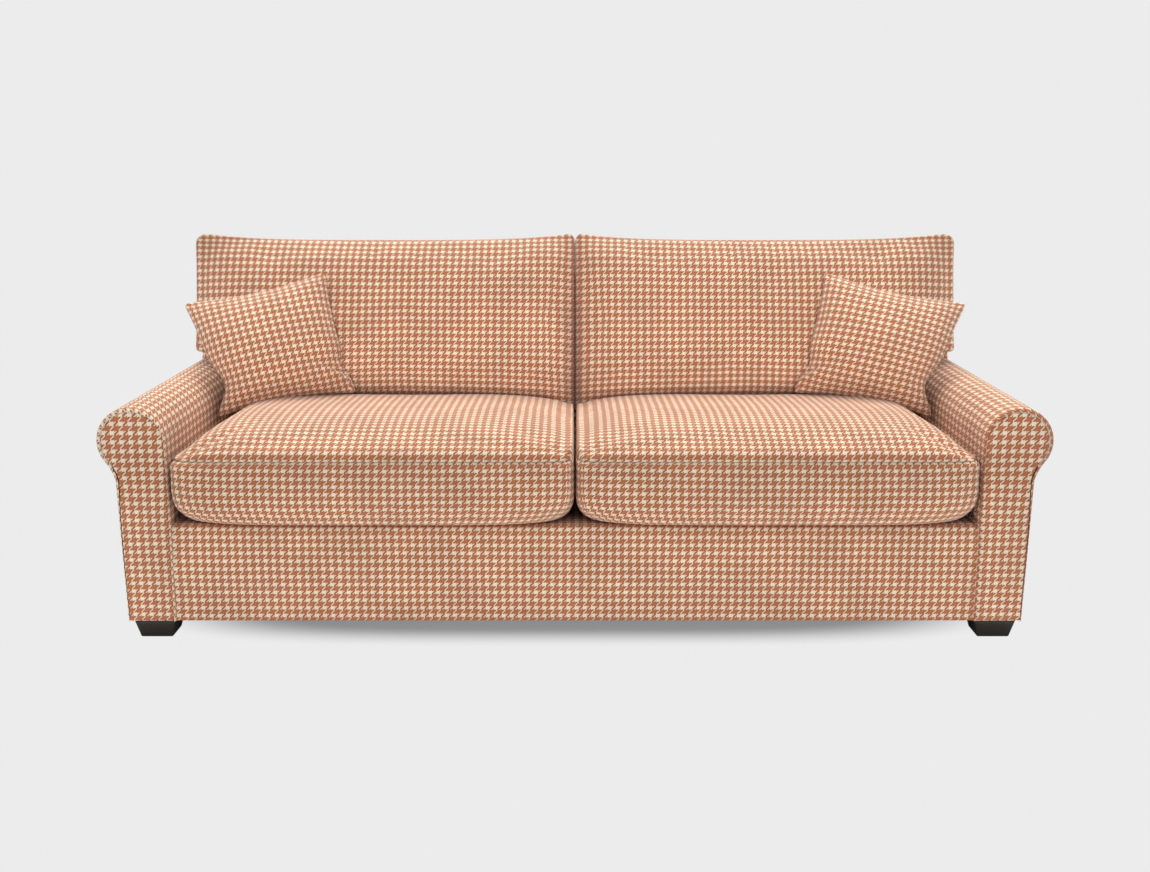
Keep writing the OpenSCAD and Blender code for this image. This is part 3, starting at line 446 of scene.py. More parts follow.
# %% [markdown]
# Back cushions.
# A back cushion is a feather-filled box with a wing that reaches out over the arm, so its outline is an L
# with rounded corners. Its top edge dips between the corners and its bottom edge lies over the crown of the
# seat. Two flat panels blown up by Cloth would make a cushion as well, but the filling would then choose its
# outline. Here the outline comes first. The front panel is made of rings round the middle, and its height is
# fullest below the middle, where the filling settles.

# %% Back cushion measures
# The inside back leans by LEAN from the line at Y_INSIDE and Z_INSIDE. The cushion reaches from BACK_X0 to
# BACK_X1 and its wing to BACK_X2. It is BACK_H high from BACK_V0 up, and the wing starts at WING_V. The
# front seam stands BACK_SEAM out, and the crown BACK_CROWN more.
LEAN = np.radians(10.0)
Y_INSIDE, Z_INSIDE = 318.0, 262.244
BACK_X0, BACK_X1, BACK_X2 = 0.3, 1022.0, 1141.0
BACK_V0, BACK_H, WING_V = 201.906, 514.0, 359.213
BACK_SEAM, BACK_CROWN = 105.0, 106.0
BACK_MID = np.array([(BACK_X0 + BACK_X1) / 2, BACK_V0 + BACK_H / 2])


def on_back(x, v, f):
    """From the inside back's axes to the room's: v runs up the leaning back, f stands out from it."""
    f = f + HAIR
    return np.stack([x, Y_INSIDE - f * np.cos(LEAN) + v * np.sin(LEAN),
                     Z_INSIDE + f * np.sin(LEAN) + v * np.cos(LEAN)], -1)


print("back cushion in mm:", round(BACK_X2 - BACK_X0), "wide,", BACK_H, "high,", BACK_SEAM, "at the seam")

# %% Outline helpers
def arc(start, corner, end, count):
    """A rounded corner: start (1-k)^2 + 2 corner k (1-k) + end k^2, pulled a little out to the corner."""
    k = np.linspace(0, 1, count)[:, None]
    s, c, e = (np.array(w, float) for w in (start, corner, end))
    soft = s * (1 - k) ** 2 + 2 * c * k * (1 - k) + e * k ** 2
    return soft + 0.12 * 4 * k * (1 - k) * (c - (s + e) / 2) * 0.5


def side(start, end, count, bow):
    """A side from start to end that is bowed by (1 - (2k-1)^4) bow to its left."""
    k = np.linspace(0, 1, count)[:, None]
    s, e = np.array(start, float), np.array(end, float)
    d = (e - s) / np.linalg.norm(e - s)
    return s + (e - s) * k + (1 - (2 * k - 1) ** 4) * bow * np.array([-d[1], d[0]])


print("middle of a rounded corner of side 1:", np.round(arc((0, 0), (1, 0), (1, 1), 3)[1], 3))

# %% Back cushion outline
def back_outline(n):
    """The outline in X and height, from the lower inner corner anticlockwise, n points on its long sides. The
    lower inner corner is nearly sharp, and the upper one slopes away from its twin."""
    top, low = BACK_V0 + BACK_H, BACK_V0
    x0, x1, x2, w = BACK_X0, BACK_X1, BACK_X2, WING_V
    parts = [
        side((x0 + 8, low - 2), (x1 - 30, low), n, 17),
        arc((x1 - 30, low), (x1, low), (x1, low + 30), 14),
        side((x1, low + 30), (x1, w - 6), 14, 0),
        arc((x1, w - 6), (x1, w), (x1 + 6, w), 6),
        side((x1 + 6, w), (x2 - 13, w + 4), 12, 0),
        arc((x2 - 13, w + 4), (x2 + 3, w + 4), (x2 + 3, w + 20), 14),
        side((x2 + 3, w + 20), (x2, top - 36), 30, 2),
        arc((x2, top - 36), (x2, top), (x2 - 40, top), 14),
        side((x2 - 40, top), (x0 + 20, top), n, 17),
        arc((x0 + 20, top), (x0 + 2, top), (x0, top - 28), 14),
        side((x0, top - 28), (x0, low + 6), 36, 0),
        arc((x0, low + 6), (x0, low - 2), (x0 + 8, low - 2), 10)]
    return np.concatenate([part[:-1] for part in parts] + [parts[0][:1]])


def drawn_in(outline, d):
    """The outline moved in by d along the line to its middle, as the cushion's rings are. Beside its twin it
    moves in by a third of that, because the two cushions press each other flat there."""
    away = outline - BACK_MID
    far = np.linalg.norm(away, axis=1, keepdims=True)
    share = 0.33 + 0.67 * np.clip((outline[:, :1] - BACK_X0) / 60, 0, 1)
    return BACK_MID + away * (far - d * share) / far


def sagged(x, v, share=1.0):
    """Height with the sag of the lower inner corner, where the seat's crown falls away to the gap: the height
    less 16 (1 - x / SEAT_A)^5 (1 - h / 200)^2, with h the height over the lower edge."""
    return v - 16 * share * np.clip(1 - x / SEAT_A, 0, 1) ** 5 * np.clip(1 - (v - BACK_V0) / 200, 0, 1) ** 2


print("length of the outline in mm:", round(along(back_outline(70))[-1]))

# %% [markdown]
# The weave on the back cushions.
# The panel is cut straight, and its long edges are pulled into the bows, so the rows of the weave follow both
# edges. Near the upper and the lower edge the cloth turns over, and more of it lies in the same height.

# %% Back cushion front
def cloth_height(x, v, q):
    """Height on the cloth: 0.975 times the height over the bowed edges, plus the sum of extra from the middle
    to q, where extra is the added share of cloth near the edges."""
    top_bow = np.interp(x, [1, 40, 570, 1100, 1144], [0, -3, -17, -3, 0])
    low_bow = np.interp(x, [1, 40, 510, 990, 1144], [0, 3, 17, 3, 0])
    share = np.clip((v - BACK_V0) / BACK_H, 0, 1)
    up = v - share * top_bow - (1 - share) * low_bow
    height = np.linspace(-1, 1, 201)
    extra = np.interp(height, [-1, -0.85, -0.72, -0.62, -0.54, 0.66, 0.74, 0.84, 0.92, 1],
                      [0.36, 0.35, 0.28, 0.14, 0, 0, 0.1, 0.3, 0.42, 0.42])
    extra = np.cumsum(extra) * (height[1] - height[0]) * BACK_H / 2
    return up * 0.975 + np.interp(q, height, extra - extra[len(extra) // 2])


def back_front(rim, inset):
    """Rings rho from 0 to 1 times the seam. The panel swells by 106 (1 - 0.24 q)(1 - |x|^5)(1 - |q|^3 above
    or |q|^11 below), where x and q run from -1 to 1 across the cushion and up it. Towards the lower corner
    at the twin the power of x grows to 12, so that the corner stays full."""
    rho = np.sin(np.linspace(0, np.pi / 2, 46)) ** 0.9
    seam = drawn_in(rim, 6 + inset)
    flat = BACK_MID + rho[:, None, None] * (seam - BACK_MID)
    x, v = flat[..., 0], flat[..., 1]
    q = (v - BACK_MID[1]) / (BACK_H / 2)
    gap = (1 - rho[:, None]) * np.linalg.norm(seam - BACK_MID, axis=1)
    lip = 2.5 * gap / 6 * np.exp(1 - gap / 6)
    across = np.abs(x / BACK_MID[0] - 1) * BACK_MID[0] / (BACK_X2 - BACK_MID[0])
    power = 5 + 7 * np.clip(-q, 0, 1) * (x < BACK_MID[0])
    swell = (1 - np.clip(across, 0, 1) ** power) * (1 - np.clip(np.abs(q), 0, 1) ** np.where(q > 0, 3, 11))
    f = BACK_SEAM - inset + BACK_CROWN * (1 - 0.24 * q) * swell * (1 - rho[:, None] ** 24) + lip
    return on_back(x, sagged(x, v), f), np.stack([x, cloth_height(x, v, q)], -1)


print("rows of the weave up a back cushion:", round(BACK_H * 0.975 / (REPEAT * 1000)))

# %% Back cushion border and rear
def back_border(rim, inset):
    """The profile from the rear edge to the front seam, carried round the outline: at the distance t from the
    back it is drawn in by draw. The cloth is measured along it, back from the seam."""
    t = np.array([0, 1, 3, 6, 11, 18, 28, 40, 56, 72, 85, 94, 100, 103, 104.2, 105])
    draw = smooth(t, [0, 4, 18, 48, 85, 98, BACK_SEAM], [38, 24, 8, 0, 0, 2.5, 6])
    ring = np.stack([drawn_in(rim, d + inset) for d in draw])
    x, v = ring[..., 0], ring[..., 1]
    f = np.clip(t, inset, BACK_SEAM - inset)[:, None] + 0 * x
    border = on_back(x, sagged(x, v, 0.3 + 0.7 * f / BACK_SEAM), f)
    forward = running(border)
    return border, np.stack([along(rim) + 0 * f, forward - forward[-1] + BACK_SEAM], -1)


def back_rear(rim, inset):
    """The flat rear panel: rings inside the turned-in border."""
    rho = np.linspace(0, 1, 24)
    flat = BACK_MID + rho[:, None, None] * (drawn_in(rim, 38 + inset) - BACK_MID)
    x, v = flat[..., 0], flat[..., 1]
    return on_back(x, sagged(x, v, 0.3), inset + 0 * x), flat.copy()


def back_cushion(inset=0.0, n=70):
    """Front panel, border and rear panel of the right back cushion, drawn in by inset."""
    rim = back_outline(n)
    return [back_front(rim, inset), back_border(rim, inset), back_rear(rim, inset)]


back_cushions = both_sides("back_cushion_cover", back_cushion(), woven, "SIDE_back", ["SIDE_back_cushion"])
print("points in a back cushion:", len(back_cushions[0].data.vertices))

# %% [markdown]
# Scatter cushions.
# A scatter cushion is two squares of cloth sewn edge to edge and filled with feather. It is thick in the
# middle and comes to a knife edge, its sides draw in between the corners, and the corners stay pointed
# because little filling gets there. It leans in the corner of the sofa: the arm pushes in its outer side, and
# a crease runs to its lower inner corner. It could be formed by hand with a sculpting brush. A height over a
# flat square was chosen, because the four corners then stay exactly where they are seen.

# %% Scatter cushion measures
SCATTER_AT = np.array([1026.0, 318.0, 304.6786])
LOW_IN, LOW_OUT = np.array([-393.0, -196, 234]), np.array([-8.0, -313, 182])
HIGH_OUT, HIGH_IN = np.array([107.0, -173, 494]), np.array([-297.0, -115, 580])
SIDEWAYS = (LOW_OUT + HIGH_OUT - LOW_IN - HIGH_IN) / 2
UPWARD = (HIGH_IN + HIGH_OUT - LOW_IN - LOW_OUT) / 2
FACING = np.cross(SIDEWAYS, UPWARD) / np.linalg.norm(np.cross(SIDEWAYS, UPWARD))
print("scatter cushion is", np.round([np.linalg.norm(SIDEWAYS), np.linalg.norm(UPWARD)]), "mm")

# %% Scatter cushion faces
def scatter_flat(u, v):
    """The flat square over u, v from -1 to 1: the four corners' blend, with its sides drawn in by
    20 (1 - v^2) outside and 14 (1 - v^2) inside and by 20 (1 - u^2) above and below. The arm pushes the outer
    side in by 34 exp(-((v + 0.5) / 0.34)^2), and above the lower inner corner there is a tuck of
    15 exp(-((v + 0.5) / 0.17)^2). The corners are a little rounded, where the cloth was turned inside out."""
    wide, tall = np.linalg.norm(SIDEWAYS), np.linalg.norm(UPWARD)
    push = np.where(u > 0, u * 34 * np.exp(-((v + 0.5) / 0.34) ** 2),
                    -u * 15 * np.exp(-((v + 0.5) / 0.17) ** 2))
    du = (np.where(u > 0, 20, 14) * (1 - v * v) + push) * 2 / wide
    dv = 20 * (1 - u * u) * 2 / tall
    k = squared(u, v, 22)
    a, b = ((1 + k * u * (1 - du)) / 2)[..., None], ((1 + k * v * (1 - dv)) / 2)[..., None]
    return (1 - b) * ((1 - a) * LOW_IN + a * LOW_OUT) + b * ((1 - a) * HIGH_IN + a * HIGH_OUT)


def crease(u, v):
    """From just above the lower inner corner up towards the middle: 15 deep, with a ridge of 7 below it."""
    off = (v + 0.72) - 0.66 * (u + 1.0)
    run = np.clip((u + 1.0) / 0.55, 0, 1)
    fade = (1 - run) ** 1.2 * np.minimum(run * 12, 1)
    return (7 * np.exp(-((off + 0.13) / 0.09) ** 2) - 15 * np.exp(-(off / 0.055) ** 2)) * fade


def scatter_face(front, inset=0.0, n=84):
    """The square raised by 92 in front, or 26 behind, times (1 - u^2)^0.45 (1 - v^2)^0.45, or ^0.35 in the
    lower half: steep at the edge and flat in the middle. The cloth is measured along the surface."""
    u, v = np.meshgrid(packed(n, 0.9), packed(n, 0.9))
    flat = scatter_flat(u, v)
    full = (1 - u * u) ** 0.45 * (1 - v * v) ** np.where(v > 0, 0.45, 0.35)
    h = 92.0 * full + crease(u, v) if front else -26.0 * full
    h = np.sign(h) * np.maximum(np.abs(h) - inset, 0)
    middle = flat.mean(axis=(0, 1))
    points = SCATTER_AT + middle + (flat - middle) * (1 - inset / 240) + h[..., None] * FACING
    sideways, up = running(points.swapaxes(0, 1)).T, running(points)
    return points, np.stack([sideways - sideways[:, n // 2, None], (up - up[n // 2]) * 1.06], -1)


def scatter_cushion(inset=0.0, n=84):
    """Front and rear face of the right scatter cushion, sewn edge to edge, drawn in by inset."""
    return [scatter_face(True, inset, n), scatter_face(False, inset, n)]


scatter_cushions = both_sides("scatter_cushion_cover", scatter_cushion(), woven, "SIDE_scatter",
                              ["SIDE_scatter_cushion"])
print("points in a scatter cushion:", len(scatter_cushions[0].data.vertices))

# %% [markdown]
# Settling the covers.
# A sewn cover is never as even as its drawing. Blender's Cloth is run on each right-hand cushion: the cover
# is one per cent larger than its form, it is blown up from inside, and it is held along its seams and
# underneath. So it swells between the seams and slackens into shallow waves. Each point keeps only a few
# millimetres of that movement, and none where the cushion touches something. The left-hand cushions take the
# same movement, mirrored.

# %% Cloth simulation
FRAMES = 14


def read_points(mesh):
    """The mesh's points as rows of X, Y and Z, in metres."""
    found = np.empty(3 * len(mesh.vertices), np.float32)
    mesh.vertices.foreach_get("co", found)
    return found.reshape(-1, 3).astype(float)


def run_cloth(cushion, start, held):
    """How far Cloth moves each point of a copy of the cushion, with the points in held pinned. The copy
    starts uneven by 0.4 mm, which gives the waves a place to begin."""
    trial = bpy.data.objects.new("settling", cushion.data.copy())
    bpy.context.scene.collection.objects.link(trial)
    uneven = 0.0004 * np.sin(start @ [91.0, 37.0, 53.0]) * np.sin(start @ [-29.0, 67.0, 41.0])
    trial.data.vertices.foreach_set("co", (start + uneven[:, None]).ravel())
    trial.vertex_groups.new(name="held").add(np.flatnonzero(held).tolist(), 1.0, "REPLACE")
    cloth = trial.modifiers.new("cloth", "CLOTH")
    cloth.settings.vertex_group_mass = "held"
    cloth.settings.quality = 4
    cloth.settings.mass = 0.25
    cloth.settings.tension_stiffness = cloth.settings.compression_stiffness = 12
    cloth.settings.bending_stiffness = 0.6
    cloth.settings.shrink_min = -0.01
    cloth.settings.use_pressure = True
    cloth.settings.uniform_pressure_force = 3.0
    cloth.settings.effector_weights.gravity = 0
    cloth.collision_settings.use_collision = False
    cloth.point_cache.frame_start, cloth.point_cache.frame_end = 1, FRAMES
    for frame_number in range(1, FRAMES + 1):
        bpy.context.scene.frame_set(frame_number)
    settled = trial.evaluated_get(bpy.context.evaluated_depsgraph_get())
    move = read_points(settled.data) - start
    bpy.data.objects.remove(trial)
    bpy.context.scene.frame_set(1)
    return move


print("frames of cloth:", FRAMES)

# %% Movement kept
def settle(cushion, twin, loose, held, cap):
    """Moves each point by the cloth's movement, no more than cap times its share in loose. No point sinks by
    more than 1 mm, so the filling stays covered. Each point of the twin moves as its mirror image does."""
    start = read_points(cushion.data)
    move = run_cloth(cushion, start, held)
    far = np.linalg.norm(move, axis=1)
    move *= (np.minimum(1, cap / np.maximum(far, 1e-9)) * loose)[:, None]
    normal = np.empty(3 * len(start), np.float32)
    cushion.data.vertices.foreach_get("normal", normal)
    normal = normal.reshape(-1, 3)
    move -= np.minimum((move * normal).sum(1) + 0.001, 0)[:, None] * normal
    cushion.data.vertices.foreach_set("co", (start + move).ravel().astype(np.float32))
    where = KDTree(len(start))
    for number, point in enumerate(start):
        where.insert(point, number)
    where.balance()
    other = read_points(twin.data)
    same = [where.find(point)[1] for point in other * [-1, 1, 1]]
    twin.data.vertices.foreach_set("co", (other + move[same] * [-1, 1, 1]).ravel().astype(np.float32))
    cushion.data.update()
    twin.data.update()
    print(cushion.name, "cloth moved", round(float(far.max() * 1000), 1), "mm at most, kept",
          round(float(np.linalg.norm(move, axis=1).max() * 1000), 1))


# %% Settled cushions
def ramp(x, low, high):
    """0 below low, 1 above high, and k^2 (3 - 2k) in between."""
    k = np.clip((x - low) / (high - low), 0, 1)
    return k * k * (3 - 2 * k)


# Seats: loose above the bottom and away from the seam, the arm, the twin and the back
x, y, z = read_points(seat_cushions[0].data).T * 1000
s = (y - Y_EDGE) * np.cos(RAKE) - (z - Z_EDGE) * np.sin(RAKE) - SEAT_S
t = (y - Y_EDGE) * np.sin(RAKE) + (z - Z_EDGE) * np.cos(RAKE) - EDGE_R
side_room = np.minimum(SEAT_A - np.abs(x - SEAT_X), SEAT_B - s)
loose = ramp(t, 12, 50) * ramp(side_room, 12, 60) * ramp(np.abs(t - SEAM_T), 1.5, 14)
held = (t < 10) | (side_room < 6) | (np.abs(t - SEAM_T) < 0.8)
settle(*seat_cushions, loose, held, 0.006)

# Backs: loose on the front panel, above the seats
x, y, z = read_points(back_cushions[0].data).T * 1000
f = -(y - Y_INSIDE) * np.cos(LEAN) + (z - Z_INSIDE) * np.sin(LEAN)
loose = ramp(f, BACK_SEAM + 4, BACK_SEAM + 30) * ramp(x, 8, 40) * ramp(z, 540, 620)
settle(*back_cushions, loose, f < BACK_SEAM + 1, 0.006)

# Scatter cushions: loose on the front face, held along the seam
points = read_points(scatter_cushions[0].data) * 1000
middle = SCATTER_AT + (LOW_IN + LOW_OUT + HIGH_IN + HIGH_OUT) / 4
out = (points - middle) @ FACING
settle(*scatter_cushions, ramp(out, 12, 40), np.abs(out) < 1.5, 0.005)

# %% [markdown]
# Arms.
# A roll arm is a board with the outline of the roll, padded, with cloth pulled up over the inner face and
# round the roll. Its section is one line: straight up the inner face, round the roll and down the outside. A
# curve with a bevel could draw the roll, but not the soft edge that leads into the seam in front, so the line
# is carried back along the arm as a grid. At the front it is drawn in along a quarter round, down to the
# facing seam.

# %% Arm section
ROLL = np.array([1113.0, 519.0])
ROLL_R = 87.0
Y_FRONT, Y_BACK, BASE_Z = -465.0, 500.0, 48.0
INNER_N, ROLL_N, HOLLOW_N = 40, 80, 16
roll_at = INNER_N - 1
hollow_at = roll_at + ROLL_N - 1 + HOLLOW_N - 1


def arm_section():
    """Points in X and Z up the inner face, round the roll, over the hollow under it and down the outside."""
    inner = np.stack([np.full(INNER_N, 1026.0), np.linspace(BASE_Z, ROLL[1], INNER_N)], -1)
    turn = np.radians(np.linspace(180, -32, ROLL_N))
    roll = ROLL + ROLL_R * np.stack([np.cos(turn), np.sin(turn)], -1)
    hollow = arc(roll[-1], (1166, 447), (1158.5, 418), HOLLOW_N)
    outer = np.stack([np.linspace(1158.5, 1149, 30), np.linspace(418, BASE_Z, 30)], -1)
    return np.concatenate([inner[:-1], roll[:-1], hollow[:-1], outer])


def inward(section):
    """Unit normals that point into the solid: the direction along the line, turned by a right angle."""
    step = np.gradient(section, axis=0)
    step /= np.linalg.norm(step, axis=-1, keepdims=True)
    return np.stack([step[..., 1], -step[..., 0]], -1)


def edge_width(section):
    """How far the facing seam lies in from the edge: 5 on the inner side, 10 on the roll, 5 outside."""
    share = along(section) / along(section)[-1]
    return smooth(share, [0, 0.42, 0.5, 0.68, 0.8, 1], [5, 5.5, 10.5, 10, 5, 4.5])


section = arm_section()
wide = edge_width(section)
print("arm section length in mm:", round(along(section)[-1]))

# %% Arm covers
def swept_arm(section, rows, wide, stretch=1.7):
    """The section carried from front to rear. Near the front it is drawn in along a quarter round:
    width (1 - sqrt(1 - k^2)), where k runs from 1 at the seam to 0 where the round ends. The cloth is pulled
    back hard over the roll, so past the round its teeth are stretch times as long that way."""
    y = Y_FRONT + rows
    k = np.clip(1 - rows[:, None] / 11.0, 0, 1)
    draw = wide * (1 - np.sqrt(1 - k ** 2 * 0.995))
    rear = np.clip(1 - (Y_BACK - y[:, None]) / 5.0, 0, 1)
    draw = draw + 4 * (1 - np.sqrt(1 - rear ** 2 * 0.99))
    flat = section + draw[..., None] * inward(section)
    points = np.stack([flat[..., 0], y[:, None] + 0 * draw, flat[..., 1]], -1)
    run = running(points)
    run = np.minimum(run, 17) + np.maximum(run - 17, 0) / stretch
    return points, np.stack([-run, along(section) + 0 * draw], -1)


# The rows lie close together round the front edge and round the rear one. In front, the inner face shows
# only in the gap beside the seat cushion, so below Z = 250 it is a short strip of 20 mm.
front_rows = 11 * (1 - np.cos(np.linspace(0, np.pi / 2, 9)))
rear_rows = Y_BACK - 5 * np.cos(np.linspace(0, np.pi / 2, 6)) - Y_FRONT
rows = np.concatenate([front_rows, np.linspace(11, 955, 90)[1:], rear_rows])
start = int(np.searchsorted(section[:roll_at, 1], 250))
inner, outer = slice(start, hollow_at + 1), slice(hollow_at, None)
inside_cover = [swept_arm(section[inner], rows, wide[inner]),
                swept_arm(section[:start + 1], front_rows * 1.8, wide[:start + 1])]
outside_cover = [swept_arm(section[outer], rows, wide[outer], 1.0)]
arm_covers = both_sides("arm_cover", inside_cover, woven, "frame", ["SIDE_inside_arm_cover"])
both_sides("arm_outside_panel", outside_cover, woven, "frame", ["SIDE_outside_arm_cover"])
print("points in an arm cover:", len(arm_covers[0].data.vertices))

# %% [markdown]
# Arm facings.
# The facing is a flat panel with the arm's own outline, sewn into the front edge. The seam sinks between the
# facing and the cover, and the facing swells a little in between. One filled face would stay flat, so the
# panel is made of rings, which can sink and swell. On the roll the cloth is pulled tight, so the weave is
# drawn about a tenth larger there.

# %% Facing
FACING_MID = np.array([1092.0, 470.0])


def facing(count=26):
    """Rings from the middle to the seam: ring rho is the seam's outline times rho. The panel swells by
    2.2 (1 - rho^6), and its edge sinks by 5 exp(-gap / 1.6) into the seam."""
    edge = section + (wide * 0.93)[:, None] * inward(section)
    edge = np.concatenate([edge, np.linspace(edge[-1], edge[0], 12)[1:]])
    rho = 1 - (1 - np.linspace(0, 1, count)) ** 1.8
    flat = FACING_MID + rho[:, None, None] * (edge - FACING_MID)
    gap = (1 - rho[:, None]) * np.linalg.norm(edge - FACING_MID, axis=1)
    y = Y_FRONT + 1.5 + 5 * np.exp(-gap / 1.6) - 2.2 * (1 - rho[:, None] ** 6)
    x, z = flat[..., 0], flat[..., 1]
    # The weave is drawn larger from Z = 330 up: by 1.055 up to 440 and by 1.11 over it
    stretch = 1 + 0.11 * np.clip((z - 330) / 110, 0, 1)
    rise = np.interp(z, [0, 330, 440, 640], [0, 330, 330 + 110 / 1.055, 330 + 110 / 1.055 + 200 / 1.11])
    return [(np.stack([x, y, z], -1), np.stack([(x - FACING_MID[0]) / stretch, rise], -1))]


facings = both_sides("arm_front_panel", facing(), woven, "frame", ["SIDE_arm_facing"], outward=(0, -1, 0))
print("points in a facing:", len(facings[0].data.vertices))

# %% [markdown]
# Fixed back.
# Behind the loose cushions stands the fixed back: a leaning inside panel that rolls over the top rail and
# ends in a seam at the rear. Its side view is one line, which is carried across the sofa and drawn in along a
# quarter round at both ends, where a side panel closes it. Below the arms' top it stops at the arms, which a
# box with bevelled edges would cut into.

# %% Fixed back shape
BACK_Z = 860.0
SIDE_X, FOLD = 1151, 10
LEAN_N, MIDDLE_COLUMN, SIDE_N = 40, 60, 52


def lean_y(z):
    """Y of the leaning inside back at the height z."""
    return Y_INSIDE + (z - Z_INSIDE) * np.tan(LEAN)


def back_section(low):
    """Side view in Y and Z: up the lean, over a 22 mm round, along the top and down a 6 mm round."""
    z = np.linspace(low, BACK_Z - 22, LEAN_N)
    front = np.stack([lean_y(z), z], -1)
    bend = arc(front[-1], (lean_y(BACK_Z), BACK_Z), (lean_y(BACK_Z) + 22, BACK_Z), 12)
    top = np.stack([np.linspace(bend[-1, 0], Y_BACK - 6, 8), np.full(8, BACK_Z)], -1)
    rear = arc(top[-1], (Y_BACK, BACK_Z), (Y_BACK, BACK_Z - 6), 6)
    return np.concatenate([front[:-1], bend[:-1], top[:-1], rear])


def roll_top(x):
    """Height of the arm's surface at X, or the deck's rear edge between the arms."""
    over = ROLL[1] + np.sqrt(np.clip(ROLL_R ** 2 - (np.abs(x) - ROLL[0]) ** 2, 0, None))
    return np.where(np.abs(x) < 1026, Z_INSIDE, over)


ends = SIDE_X - FOLD * (1 - np.cos(np.linspace(0, np.pi / 2, 8)))
over_arm = np.linspace(1027, SIDE_X - FOLD, 16)[:-1]
back_x = np.concatenate([-ends, -over_arm[::-1], np.linspace(-1025.5, 1025.5, 90), over_arm, ends[::-1]])
lows = roll_top(back_x) + np.where(np.abs(back_x) < 1026, -12, -2)
sections = np.stack([back_section(low) for low in lows], 1)
k = np.clip((np.abs(back_x) - (SIDE_X - FOLD)) / FOLD, 0, 1)
sunk = FOLD * (1 - np.sqrt(1 - k ** 2 * 0.99))
into = inward(sections)
shell = sections + sunk[:, None] * into
shell = np.stack([back_x + 0 * shell[..., 0], shell[..., 0], shell[..., 1]], -1)
print("columns of the fixed back:", len(back_x))

# %% Fixed back cover
# The cloth's height is read from one column between the arms, and past the lean it runs on over the top
rise = along(shell[:, MIDDLE_COLUMN]) + Z_INSIDE
rise = np.interp(sections[..., 1], shell[:LEAN_N, MIDDLE_COLUMN, 2], rise[:LEAN_N]) + np.where(
    np.arange(len(shell))[:, None] >= LEAN_N, rise[:, None] - rise[LEAN_N - 1], 0)
inside_patch = (shell, np.stack([back_x + 0 * rise, rise], -1))


def side_panel():
    """The flat end: lines from the leaning front edge to the upright rear edge, swelling by 2."""
    front = shell[:SIDE_N, -1]
    rear = np.stack([front[:, 0], np.full(SIDE_N, Y_BACK - 5), front[:, 2]], -1)
    share = np.linspace(0, 1, 12)[None, :, None]
    panel = front[:, None] * (1 - share) + rear[:, None] * share
    panel[..., 0] += 2.0 * np.sin(np.pi * share[..., 0]) ** 0.6
    return panel, panel[..., 1:].copy()


right_end = side_panel()
fixed_back = piece("fixed_back_cover", [inside_patch, right_end] + mirrored([right_end]), woven, "frame",
                   ["inside_back_cover"])
print("points in the fixed back cover:", len(fixed_back.data.vertices))

# %% Outside back
def outside_back(count=30):
    """Rings round a middle point: the outline is the back's sides and top, and below them the arm's own
    section from the roll down, drawn in by 3 as the arm's cover is there."""
    arm = (section + 3 * inward(section))[roll_at + 44:]
    right = np.concatenate([side((1149.5, BACK_Z - 2), arm[0], 24, 0)[:-1], arm])
    low = side(right[-1], right[-1] * [-1, 1], 80, 0)[1:-1]
    high = side((-1149.5, BACK_Z - 2), (1149.5, BACK_Z - 2), 80, 0)[1:]
    rim = np.concatenate([right, low, (right * [-1, 1])[::-1], high])
    middle = np.array([0.0, 485.0])
    rho = 1 - (1 - np.linspace(0, 1, count)) ** 2
    flat = middle + rho[:, None, None] * (rim - middle)
    gap = (1 - rho[:, None]) * np.linalg.norm(rim - middle, axis=1)
    y = Y_BACK - 0.5 - 3.5 * np.exp(-gap / 3) + 1.5 * (1 - rho[:, None] ** 8)
    return [(np.stack([flat[..., 0], y, flat[..., 1]], -1), flat * [-1, 1])]


rear_panel = piece("outside_back_panel", outside_back(), woven, "frame", ["outside_back_cover"],
                   outward=(0, 1, 0))
print("points in the outside back:", len(rear_panel.data.vertices))

# %% [markdown]
# Base and deck.
# Below the seat cushions one plain panel covers the front rail. At its top it rolls over a soft edge onto the
# deck, and at its bottom it is turned under a hem. A plain board would have neither the hem nor the soft edge
# that catch the light, so the panel is one side-view line carried across the sofa. The deck cloth sags a
# little between the springs, which stand 128 mm apart.

# %% Base front
def base_section():
    """Side view in Y and Z: a short return, the hem, up the front, and over the edge roll of radius 16."""
    hem = np.array([[-446, 49.0], [-453, 48.2], [-457.6, 48.6], [-459.2, 51.0], [-459.0, 54.0],
                    [-457.6, 58.5]])
    z = np.linspace(64, 272, 50)
    front = np.stack([-457 - 2.2 * np.sin(np.pi * np.clip((z - 60) / 215, 0, 1)) ** 0.7, z], -1)
    turn = np.radians(np.linspace(172, 86, 22))
    roll = np.array([Y_EDGE, Z_EDGE]) + EDGE_R * np.stack([np.cos(turn), np.sin(turn)], -1)
    return np.concatenate([hem, front, roll])


base_line = base_section()
base_x = np.linspace(-1027, 1027, 160)
base_points = across_x(base_line, base_x)
base_uv = np.stack([base_points[..., 0], along(base_line)[:, None] + 0 * base_x], -1)
piece("base_front_panel", [(base_points, base_uv)], woven, "frame", ["base_front_cover"], outward=(0, -1, 0))
print("length of the base panel's side view in mm:", round(along(base_line)[-1]))

# %% Deck cloth
SPRING_GAP = 128
deck_x, deck_s = np.meshgrid(np.linspace(-1026, 1026, 120), np.linspace(-1.0, 757.0, 50))
sag = 1.2 * np.sin(deck_x / SPRING_GAP * np.pi) ** 2 * np.sin(np.pi * np.clip(deck_s / 757, 0, 1))
piece("deck_cover", [(deck(deck_x, deck_s, EDGE_R - sag), np.stack([deck_x, deck_s], -1))], woven, "frame",
      ["deck_cloth"], outward=(0, 0, 1))
print("deepest sag of the deck cloth in mm:", round(float(sag.max()), 2))

